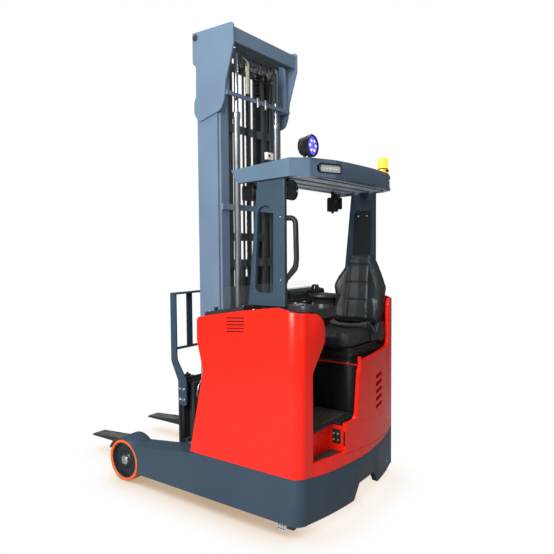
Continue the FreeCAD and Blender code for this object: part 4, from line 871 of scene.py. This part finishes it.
def roundedLoop(corners, radii, arc=6):
    # a closed outline through corners, each rounded by its own radius
    loop = []
    for number, corner in enumerate(corners):
        corner = Vector(corner)
        before = (Vector(corners[number - 1]) - corner).normalized()
        after = (Vector(corners[(number + 1) % len(corners)]) - corner).normalized()
        half = math.acos(max(-1, min(1, before.dot(after)))) / 2
        reach = radii[number] / math.tan(half)
        start, end = corner + before * reach, corner + after * reach
        for step in range(arc + 1):
            t = step / arc
            loop.append((start * (1 - t) ** 2 + corner * 2 * t * (1 - t) + end * t * t)[:])
    return loop


def softBlock(name, outline, depth, origin, across, up, normal):
    # a cushion core: an outline with rounded edges
    middle = Vector((sum(u for u, v in outline) / len(outline), sum(v for u, v in outline) / len(outline)))
    shape = bmesh.new()
    rings = []
    for inset, along in ((0.030, 0.0), (0.008, 0.012), (0.0, 0.030),
                         (0.0, depth - 0.030), (0.010, depth - 0.010), (0.032, depth)):
        ring = []
        for corner in outline:
            away = Vector(corner) - middle
            spot = middle + away * max(0.0, 1 - inset / away.length)
            ring.append(shape.verts.new(origin + across * spot.x + up * spot.y + normal * along))
        rings.append(ring)
    bridge(shape, rings)
    return makePiece(name, shape, "seatVinyl")


def pressSeams(item, lines, normal):
    # sinks a sewn channel along each line on the faces that look along normal
    depth, width = seat["grooveDepth"], seat["grooveWidth"]
    for vertex in item.data.vertices:
        if vertex.normal.dot(normal) < 0.25:
            continue
        for start, end in lines:
            span = end - start
            t = max(0.0, min(1.0, (vertex.co - start).dot(span) / span.length_squared))
            off = vertex.co - (start + span * t)
            off -= normal * off.dot(normal)
            if off.length < width * 3:
                vertex.co -= normal * depth * math.exp(-(off.length / width) ** 2)


def finishSoft(item, node):
    smooth = item.modifiers.new("finer", "SUBSURF")
    smooth.levels = 1
    smooth.render_levels = 1
    applied(item)
    item.data.shade_smooth()
    item.data.materials.clear()
    item.data.materials.append(finishes["seatVinyl"])
    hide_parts(node)


def makeCushion():
    low, high = boxOf("seat_cushion")
    size = high - low
    trim = seat["swell"] * 0.75
    across, along, up = Vector((1, 0, 0)), Vector((0, 1, 0)), Vector((0, 0, 1))
    corners = [(trim, trim), (size.x - trim, trim), (size.x - trim, size.y - trim), (trim, size.y - trim)]
    outline = roundedLoop(corners, [0.03, 0.09, 0.09, 0.03])
    origin = Vector((low.x, low.y, low.z + 0.001))
    item = softBlock("seat_cushion_pad", outline, size.z - 0.008, origin, across, along, up)
    remeshed(item)
    swollen(item, lambda spot: spot.z < low.z + 0.006)
    for vertex in item.data.vertices:
        u = (vertex.co.x - low.x) / size.x
        v = abs((vertex.co.y - low.y) / size.y - 0.5) * 2
        if vertex.normal.z > 0.2:  # the sitter's hollow
            vertex.co.z -= 0.016 * max(0.0, 1 - v * 1.45) * max(0.0, 1 - abs(u - 0.45) * 1.6)
    inner = [low.y + size.y * 0.20, high.y - size.y * 0.20]
    front, back = high.x - size.x * 0.14, low.x + size.x * 0.04
    lines = [(Vector((back, y, high.z)), Vector((front, y, high.z))) for y in inner]
    lines += [(Vector((x, inner[0], high.z)), Vector((x, inner[1], high.z)))
              for x in (front, *(low.x + size.x * part for part in (0.30, 0.50, 0.69)))]
    pressSeams(item, lines, up)
    finishSoft(item, "seat_cushion")


backrest = {"foot": (-430, 1190), "lean": 7, "thick": 0.080, "setBack": 0.086,
            "hips": 0.188, "waist": (0.194, 0.185), "shoulder": (0.233, 0.300), "head": (0.096, 0.566),
            "radii": [0.04, 0.06, 0.055, 0.05], "seams": (0.035, 0.185, 0.320, 0.460),
            "seamHalf": (0.092, 0.082)}


def makeBackrest():
    # leans back over the cushion's rear edge; narrow at the hips, wide at the shoulders
    lean = math.radians(backrest["lean"])
    up = Vector((-math.sin(lean), 0, math.cos(lean)))
    out = Vector((math.cos(lean), 0, math.sin(lean)))
    across = Vector((0, 1, 0))
    foot = at(backrest["foot"][0], seat["middle"], backrest["foot"][1])
    trim = seat["swell"] * 0.8
    head, top = backrest["head"]
    right = [(backrest["hips"] - trim, 0.0)]
    right += [(u - trim, v) for u, v in (backrest["waist"], backrest["shoulder"])] + [(head, top - trim)]
    left = [(-u, v) for u, v in right]
    radii = backrest["radii"]
    outline = roundedLoop([left[0], *right, *reversed(left[1:])], [radii[0], *radii, *reversed(radii[1:])])
    origin = foot - out * backrest["setBack"]
    item = softBlock("seat_backrest_pad", outline, backrest["thick"], origin, across, up, out)
    remeshed(item)
    swollen(item, lambda spot: (spot - foot).dot(out) < -0.080)
    for vertex in item.data.vertices:
        off = vertex.co - foot
        v = abs(off.y) / 0.2
        h = off.dot(up)
        if off.dot(out) > -0.055:
            bolster = max(0.0, 1 - abs(v - 0.86) / 0.42) * max(0.0, min(1.0, h / 0.06, (0.47 - h) / 0.10))
            vertex.co += out * 0.034 * bolster ** 0.8
        hips = max(0.0, 1 - abs(h - 0.13) / 0.17) * min(1.0, v / 0.7)
        vertex.co.y += math.copysign(0.028 * hips, off.y)
        if vertex.normal.dot(out) > 0.2:
            vertex.co -= out * 0.012 * max(0.0, 1 - v * 1.5) * max(0.0, min(1.0, h / 0.08))
    face = foot + out * 0.004
    low, high = backrest["seams"][0], backrest["seams"][-1]
    wide, narrow = backrest["seamHalf"]
    lines = [(face + across * wide * side + up * low, face + across * narrow * side + up * high)
             for side, label in sides]
    for height in backrest["seams"]:
        half = wide - (wide - narrow) * (height - low) / (high - low)
        lines.append((face - across * half + up * height, face + across * half + up * height))
    pressSeams(item, lines, out)
    finishSoft(item, "seat_backrest")


def reclinerCovers():
    # round covers over the backrest's hinges, and the shell behind the pad
    for side, label in sides:
        y = seat["middle"] + side * 196
        shape = bmesh.new()
        addTurned(shape, at(-455, y, 1145), (0, side, 0), [
            (76, -20), (78, 6), (70, 15), (56, 18), (52, 13), (30, 14),
            (26, 22), (12, 25), (0, 25)], 40)
        blockBetween(shape, (-505, min(y, y + side * 9), 1092), (-300, max(y, y + side * 9), 1146))
        makePiece("recliner_cover_" + label, shape, "blackPlastic", edge=4)
    blockPiece("seat_shell", [((-540, 1240, 1088), (-434, 1598, 1186))], "blackPlastic", edge=12)


def lapBelt():
    # webbing laid over the cushion, and its clasp
    run = smoothRun([at(*place) for place in belt["route"]], 6)
    shape = bmesh.new()
    rings = []
    for number, spot in enumerate(run):
        along = (run[min(number + 1, len(run) - 1)] - run[max(number - 1, 0)]).normalized()
        flat = along.cross(Vector((0.25, 0, 1))).normalized()
        thick = flat.cross(along).normalized() * belt["thick"] / 2
        rings.append([shape.verts.new(spot + flat * u * belt["wide"] / 2 + thick * v)
                      for u, v in ((-1, -1), (1, -1), (1, 1), (-1, 1))])
    bridge(shape, rings)
    strap = makePiece("belt_strap", shape, "beltWeb", smooth=False)
    blockPiece("belt_clasp", [((-326, 1588, 1180), (-282, 1606, 1238))], "glossBlack", edge=6)


makeCushion()
print("cushion done")
makeBackrest()
print("backrest done")
reclinerCovers()
lapBelt()
print("seat dressed")


# guard, lamps and mast head

lightBar = {"cells": 6, "high": 46, "rim": 7}
spotLamp = {"place": (575, 1656, 2385), "diodes": 6, "fins": 7, "finPitch": 7, "rear": 1588}
beacon = {"foot": (-335, 1688, 2319.5), "ribs": 16}
workLamp = {"x": 546.4, "shift": -10, "face": 1127, "z": 2138, "fins": 6}
roundLamp = {"place": (533, 1484, 2139), "fins": 5}
rearwards = Vector((0, 1, 0))


def plateLoop(wide, high, corner):
    u, v = wide / 2, high / 2
    return roundedLoop([(-u, -v), (u, -v), (u, v), (-u, v)], [corner] * 4, 5)


def standingRings(shape, loops, centre, out, thick):
    across = Vector((0, 0, 1)).cross(out)
    return [[shape.verts.new(centre + (across * u + out * along + Vector((0, 0, v))) / 1000) for u, v in loop]
            for loop in loops for along in (0, thick)]


def roundedPlate(shape, centre, out, wide, high, thick, corner):
    # a plate with rounded corners, standing on a face
    bridge(shape, standingRings(shape, [plateLoop(wide, high, corner)], centre, out, thick))


def roundedFrame(shape, centre, out, wide, high, thick, rim, corner):
    # the same plate with its middle open
    loops = [plateLoop(wide - 2 * inset, high - 2 * inset, max(corner - inset, 0.8)) for inset in (0, rim)]
    outer, outerTop, inner, innerTop = standingRings(shape, loops, centre, out, thick)
    bridge(shape, [outer, outerTop, innerTop, inner, outer], capped=False)


def dressLightBar(name, place, out, wide):
    # clear lens over a row of lamps, in a black rounded rim let into the guard
    out = Vector(out).normalized()
    across = Vector((0, 0, 1)).cross(out) / 1000
    high, cells = lightBar["high"], lightBar["cells"]
    rim, back, lens, lamps = [at(*place) - out * depth / 1000 for depth in (6, 32, 5, 19)]
    shape = bmesh.new()
    roundedFrame(shape, rim, out, wide, high + 12, 8, lightBar["rim"], 16)
    roundedPlate(shape, back, out, wide - 4, high + 8, 12, 14)
    makePiece(name + "_rim", shape, "glossBlack", edge=1)
    spots = [lamps + across * (number - (cells - 1) / 2) * (wide - 26) / cells for number in range(cells)]
    turnedPiece(name + "_reflectors", spots, out, [(4, 0), (12.5, 9), (14, 10)], 16, "chrome")
    turnedPiece(name + "_lamps", spots, out, [(4.2, 0), (3.6, 3), (0, 4.2)], 12, "lampGlass")
    shape = bmesh.new()
    roundedPlate(shape, lens, out, wide - 14, high - 2, 3, 12)
    makePiece(name + "_lens", shape, "lensClear", edge=0.8)


def addFin(shape, spot, radius, count):
    addTurned(shape, spot, rearwards, [(30, 0), (radius, 0), (radius, 2.2), (30, 2.2)], count)


def dressSpotLamp():
    # blue floor spot: bezel, lens, its diodes and cooling fins
    x, y, z = spotLamp["place"]
    spot = at(x, y, z)
    turnedPiece("spot_bezel", [spot], rearwards, [
        (63, -12), (66, -8), (66.5, 4), (62, 10), (55.5, 10), (54, 2)], 44,
        "glossBlack")
    turnedPiece("spot_lens", [spot], rearwards, [(54.5, 2), (40, 6), (20, 7.8), (0, 8.4)], 44,
                "blueLens")
    places = [spot + mm(0, 6.2, 0) + Vector((place.x, 0, place.y))
              for place in around(spotLamp["diodes"], 30)]
    turnedPiece("spot_diodes", places, rearwards, [(8.5, 0), (7, 3), (0, 4.2)], 16, "blueDiode")
    shape = bmesh.new()
    for number in range(spotLamp["fins"]):
        addFin(shape, at(x, spotLamp["rear"] + spotLamp["finPitch"] * number, z), 52 + 1.2 * number, 32)
    makePiece("spot_fins", shape, "blackSteel")
    capScrews("spot_pivots", [at(x - 30, 1612, z - 33)], (-1, 0, 0), 7)


def dressBeacon():
    # black foot with its screw collar, and ribs inside the dome
    foot = at(*beacon["foot"])
    turnedPiece("beacon_foot", [foot], (0, 0, 1), [
        (42.3, 0.5), (42.3, 16), (41.5, 18.5), (37, 20.5), (36.2, 27), (35.4, 28)], 40,
        "glossBlack")
    shape = bmesh.new()
    for number, spot in enumerate(around(beacon["ribs"], 35.2, 60)):
        spin = Matrix.Rotation(2 * math.pi * number / beacon["ribs"], 4, "Z")
        addBlock(shape, foot + spot, (1.4, 3, 66), spin)
    makePiece("beacon_ribs", shape, "amberLens", edge=0.5)


def dressWorkLamp(side, label):
    # looks forwards, with fins at its back
    x = side * workLamp["x"] + workLamp["shift"]
    face, z = workLamp["face"], workLamp["z"]
    shape = bmesh.new()
    roundedFrame(shape, at(x, face, z), -rearwards, 78, 92, 8, 6, 12)
    for number in range(workLamp["fins"]):
        left = x - 36 + 12.6 * number
        blockBetween(shape, (left, face + 79, z - 42), (left + 5, face + 87, z + 42))
    makePiece("work_lamp_case_" + label, shape, "glossBlack", edge=1.2)
    shape = bmesh.new()
    roundedPlate(shape, at(x, face + 0.5, z), -rearwards, 66, 80, 4, 8)
    makePiece("work_lamp_glass_" + label, shape, "lampGlass", edge=0.8)


def dressRoundLamp():
    centre = at(*roundLamp["place"])
    shape = bmesh.new()
    addTurned(shape, centre, rearwards, [
        (62, -6), (64, -2), (64, 4), (59, 8), (54, 6), (52, 1)], 44)
    for number in range(roundLamp["fins"]):
        addFin(shape, centre + mm(0, 7 * number - 58, 0), 46 + 3 * number, 28)
    makePiece("round_lamp_rim", shape, "glossBlack")
    turnedPiece("round_lamp_lens", [centre], rearwards, [(52.5, 1), (30, 4.5), (0, 6)], 36, "darkLens")


def dressHangingBox():
    # ribs and cable gland
    shape = bmesh.new()
    for number in range(5):
        left = -388 + 11 * number
        blockBetween(shape, (left, 1286, 2068), (left + 5, 1289.5, 2150))
    addTurned(shape, at(-362, 1257, 2059), (0, 0, -1), [(11, -1), (11, 10), (7, 14), (0, 14)], 18)
    makePiece("box_ribs", shape, "blackPlastic", edge=0.8)


def wallPlate(name, outline, inner, outer, finish, edge=0.0):
    # a thin plate across the truck's side, its outline in Y and Z
    shape = bmesh.new()
    bridge(shape, [[shape.verts.new(at(x, y, z)) for y, z in outline] for x in (inner, outer)])
    makePiece(name, shape, finish, edge=edge)


def dressPillars():
    # screws in the left pillar's rear edge; a dark plate in the right one's recess is painted shade
    capScrews("pillar_screws_left", [at(633, 1464, z) for z in (1970, 1587)], (1, 0, 0), 5.5)
    shadeOutline = roundedLoop([(1294, 1505), (1461, 1505), (1461, 2068), (1320, 2068)], [28] * 4)
    wallPlate("pillar_recess_shade", shadeOutline, -612.5, -610, "recessBlue")
    capScrews("pillar_screws_right", [at(-610, y, 2030) for y in (1352, 1424)], (1, 0, 0), 7.5)


def dressMastHead():
    # rubber plugs in the lifting holes, the limit switch, and the head beam's turned-down flange
    for side, label in sides:
        turnedPiece("head_plug_" + label, [at(side * 399, 559, 3302)], (side, 0, 0), [
            (0, 5), (19, 5), (23, 3), (24, 0.3), (15.5, 0.3), (15, -12), (0, -12)],
            28, "hoseRubber", "reach_carriage")
    blockPiece("limit_switch", [((-62, 889, 2448), (18, 915, 2500))], "switchCream", "reach_carriage", 3)
    shape = bmesh.new()
    addDisc(shape, at(-6, 917, 2474), (0, 1, 0), 10, 5, 20)
    makePiece("limit_switch_cap", shape, "glossBlack", "reach_carriage", 0.6)
    blockPiece("head_flange", [((-368, 834, 3213), (368, 888, 3222))], "stageBlue", "reach_carriage", 1)


dressLightBar("light_bar_left", (421, 1693.5, 2264), (68, 192, 0), 176)
dressLightBar("light_bar_right", (-613, 1592.5, 2264), (-95, 82, 0), 98)
dressSpotLamp()
dressBeacon()
for side, label in sides:
    dressWorkLamp(side, label)
dressRoundLamp()
dressHangingBox()
dressPillars()
dressMastHead()
print("guard and lamps done")


# body details

grille = {"sideSlots": 5, "sidePitch": 22, "sideFoot": 1249.5,
          "rearSlots": 5, "rearPitch": 54, "rearFoot": 626}
bracket = {"x": 667, "front": 1446, "rear": 1512, "foot": 36, "top": 100, "thick": 3}
screenClips = (150, 420, 585)


def dressGrilles():
    # painted shade: dark blocks inside the side slots and dark plates behind the rear ones
    shape = bmesh.new()
    slant = Matrix.Rotation(math.atan2(10, 150), 4, "X")
    for number in range(grille["sideSlots"]):
        spot = at(671.5, 1139, grille["sideFoot"] + grille["sidePitch"] * number)
        addBlock(shape, spot, (3, 150, 10), slant)
    makePiece("side_vent_shade", shape, "darkInside")
    heights = [grille["rearFoot"] + grille["rearPitch"] * number for number in range(grille["rearSlots"])]
    blockPiece("rear_vent_shade", [((-330, 1640, z - 4), (-186, 1650, z + 40)) for z in heights],
               "darkInside", edge=1)


def dressPanels():
    # black liner inside the right panel up to its rim; screws in the skirt and the deck
    liner = [(720, 1262), (1480, 1262), (1480, 1413), (1182, 1378), (804, 1315), (720, 1306)]
    wallPlate("panel_liner", liner, -657.5, -654, "blackPlastic", 1)
    hexBolts("skirt_bolts", [at(-446, 1671, 160), at(-436, 1673, 104)], (-0.2, 0.98, 0), 9)
    for side, label in sides:
        places = [at(side * 612, y, z) for y, z in ((860, 1358), (1150, 1407))]
        capScrews("deck_screws_" + label, places, (0, 0, 1), 6)


def dressBracket():
    # perforated bracket and earthing block under the left corner
    x, front, rear, foot, top, thick = bracket.values()
    plates = [((x - thick, front, foot), (x, rear, top)), ((x - 67, front, top - thick), (x, rear, top))]
    blockPiece("strap_bracket", plates, "paleZinc", edge=0.8)
    # dark discs on the holes: painted shade seen through them
    shape = bmesh.new()
    for y in (1460, 1479, 1498):
        for z in (52, 74):
            addDisc(shape, at(x, y, z), (1, 0, 0), 4.8, 1.2, 14)
    makePiece("bracket_hole_shade", shape, "darkInside")
    blockPiece("strap_block", [((628, 1514, 58), (662, 1566, 90))], "hoseRubber", edge=2)


def dressScreen():
    # clips and their screws along the screen's foot
    spots = [side * x for side, label in sides for x in screenClips]
    clips = [((x - 14, 884, 1362), (x + 14, 900, 1386)) for x in spots]
    blockPiece("screen_clips", clips, "blackPlastic", edge=1.5)
    capScrews("screen_screws", [at(x, 900, 1375) for x in spots], (0, 1, 0), 4.5)


def dressHandle():
    # soft sleeve on the grab handle, and the screws at its feet
    sleeve = [at(590, 1472, 1965), at(590, 1508, 1965)]
    sleeve += [at(590, 1508 + 39 * math.sin(turn), 1927 + 38 * math.cos(turn))
               for turn in [math.radians(15 * step) for step in range(1, 7)]]
    lower = ((1552, 1720), (1549, 1690), (1540, 1664), (1524, 1644), (1484, 1598))
    sleeve += [at(590, y, z) for y, z in lower]
    strand("handle_sleeve", sleeve, 16.5, 18, "sleeveBlack")
    screws = ((1458, 1975), (1458, 1955), (1462, 1590), (1462, 1570))
    capScrews("handle_screws", [at(584, y, z) for y, z in screws], (-1, 0, 0), 5)


dressGrilles()
dressPanels()
dressBracket()
dressScreen()
dressHandle()
print("body details done")


# floor, light and camera

studio = {"floor": 7.0, "sky": 0.30, "mirrored": 0.16, "paper": 0.42,
          "shadow": [(0.25, (0.50, 0.36, 0.24)), (0.62, (0.93, 0.84, 0.74)), (0.92, (1, 1, 1))]}
lights = {"key": {"place": (4.7, 1.3, 3.3), "target": (0, 0.4, 1.2), "size": (2.4, 2.4), "power": 330.0},
          "fill": {"place": (1.2, 5.0, 2.6), "target": (0, 0.6, 1.2), "size": (3.0, 2.4), "power": 12.0},
          "top": {"place": (0.4, 0.4, 5.4), "target": (0, 0.4, 1.0), "size": (3.4, 3.4), "power": 170.0}}
camera = {"place": (3.4058, 2.9477, 1.7847), "yaw": 35.6072, "pitch": -3.0131, "roll": -0.4266,
          "lens": 36.213, "sensor": 36.0}


def whiteSky():
    # a light grey room that shows as white paper behind the truck
    world = bpy.data.worlds.new("room")
    world.use_nodes = True
    tree = world.node_tree
    rays = addNode(tree, "LightPath").outputs
    seen = arithmetic(tree, "MAXIMUM", rays["Is Camera Ray"], rays["Is Transmission Ray"])
    room = mixed(tree, seen, (*(studio["sky"],) * 3, 1), (1, 1, 1, 1))
    dim = mixed(tree, rays["Is Glossy Ray"], room, (*(studio["mirrored"],) * 3, 1))
    feed(tree, tree.nodes["Background"], {"Color": dim})
    bpy.context.scene.world = world


def softLight(name, place, target, size, power):
    data = bpy.data.lights.new(name, "AREA")
    data.shape = "RECTANGLE"
    data.size, data.size_y = size
    data.energy = power
    item = bpy.data.objects.new(name, data)
    item.location = place
    item.rotation_euler = (Vector(target) - Vector(place)).to_track_quat("-Z", "Y").to_euler()
    bpy.context.scene.collection.objects.link(item)


def paleFloor():
    # matt floor that the camera sees as white, with a painted shadow where the truck stands close to it
    size = studio["floor"]
    mesh = bpy.data.meshes.new("studio_floor")
    corners = [(-size, -size, 0), (size, -size, 0), (size, size, 0), (-size, size, 0)]
    mesh.from_pydata(corners, [], [(0, 1, 2, 3)])
    item = bpy.data.objects.new("studio_floor", mesh)
    bpy.context.scene.collection.objects.link(item)
    material, tree, shader = newMaterial("studioFloor")
    # ambient occlusion darkens the white the camera sees: painted shadow
    near = addNode(tree, "AmbientOcclusion", {"Distance": 0.34}, samples=12)
    white = addNode(tree, "Emission", {"Color": ramp(tree, near.outputs["AO"], studio["shadow"])})
    feed(tree, shader, {"Base Color": (*(studio["paper"],) * 3, 1), "Roughness": 0.8})
    bump(tree, shader, noiseOver(tree, 60.0), 0.02, 0.001)
    rays = addNode(tree, "LightPath")
    mix = addNode(tree, "MixShader", {
        "Fac": rays.outputs["Is Camera Ray"], 1: shader.outputs["BSDF"], 2: white.outputs["Emission"]})
    feed(tree, tree.nodes["Material Output"], {"Surface": mix.outputs["Shader"]})
    mesh.materials.append(material)


def placeCamera():
    # eye-level view of the left rear quarter
    yaw, pitch, roll = [math.radians(camera[key]) for key in ("yaw", "pitch", "roll")]
    forward = Vector((-math.cos(yaw) * math.cos(pitch), -math.sin(yaw) * math.cos(pitch), math.sin(pitch)))
    right = forward.cross(Vector((0, 0, 1))).normalized()
    up = right.cross(forward)
    across = right * math.cos(roll) + up * math.sin(roll)
    upright = up * math.cos(roll) - right * math.sin(roll)
    data = bpy.data.cameras.new("camera")
    data.lens = camera["lens"]
    data.sensor_width = camera["sensor"]
    item = bpy.data.objects.new("camera", data)
    turned = Matrix((across, upright, -forward)).transposed().to_4x4()
    item.matrix_world = Matrix.Translation(camera["place"]) @ turned
    bpy.context.scene.collection.objects.link(item)
    bpy.context.scene.camera = item


whiteSky()
paleFloor()
for name, facts in lights.items():
    softLight(name, **facts)
placeCamera()
bpy.context.scene.view_settings.view_transform = "Standard"
print("studio set")
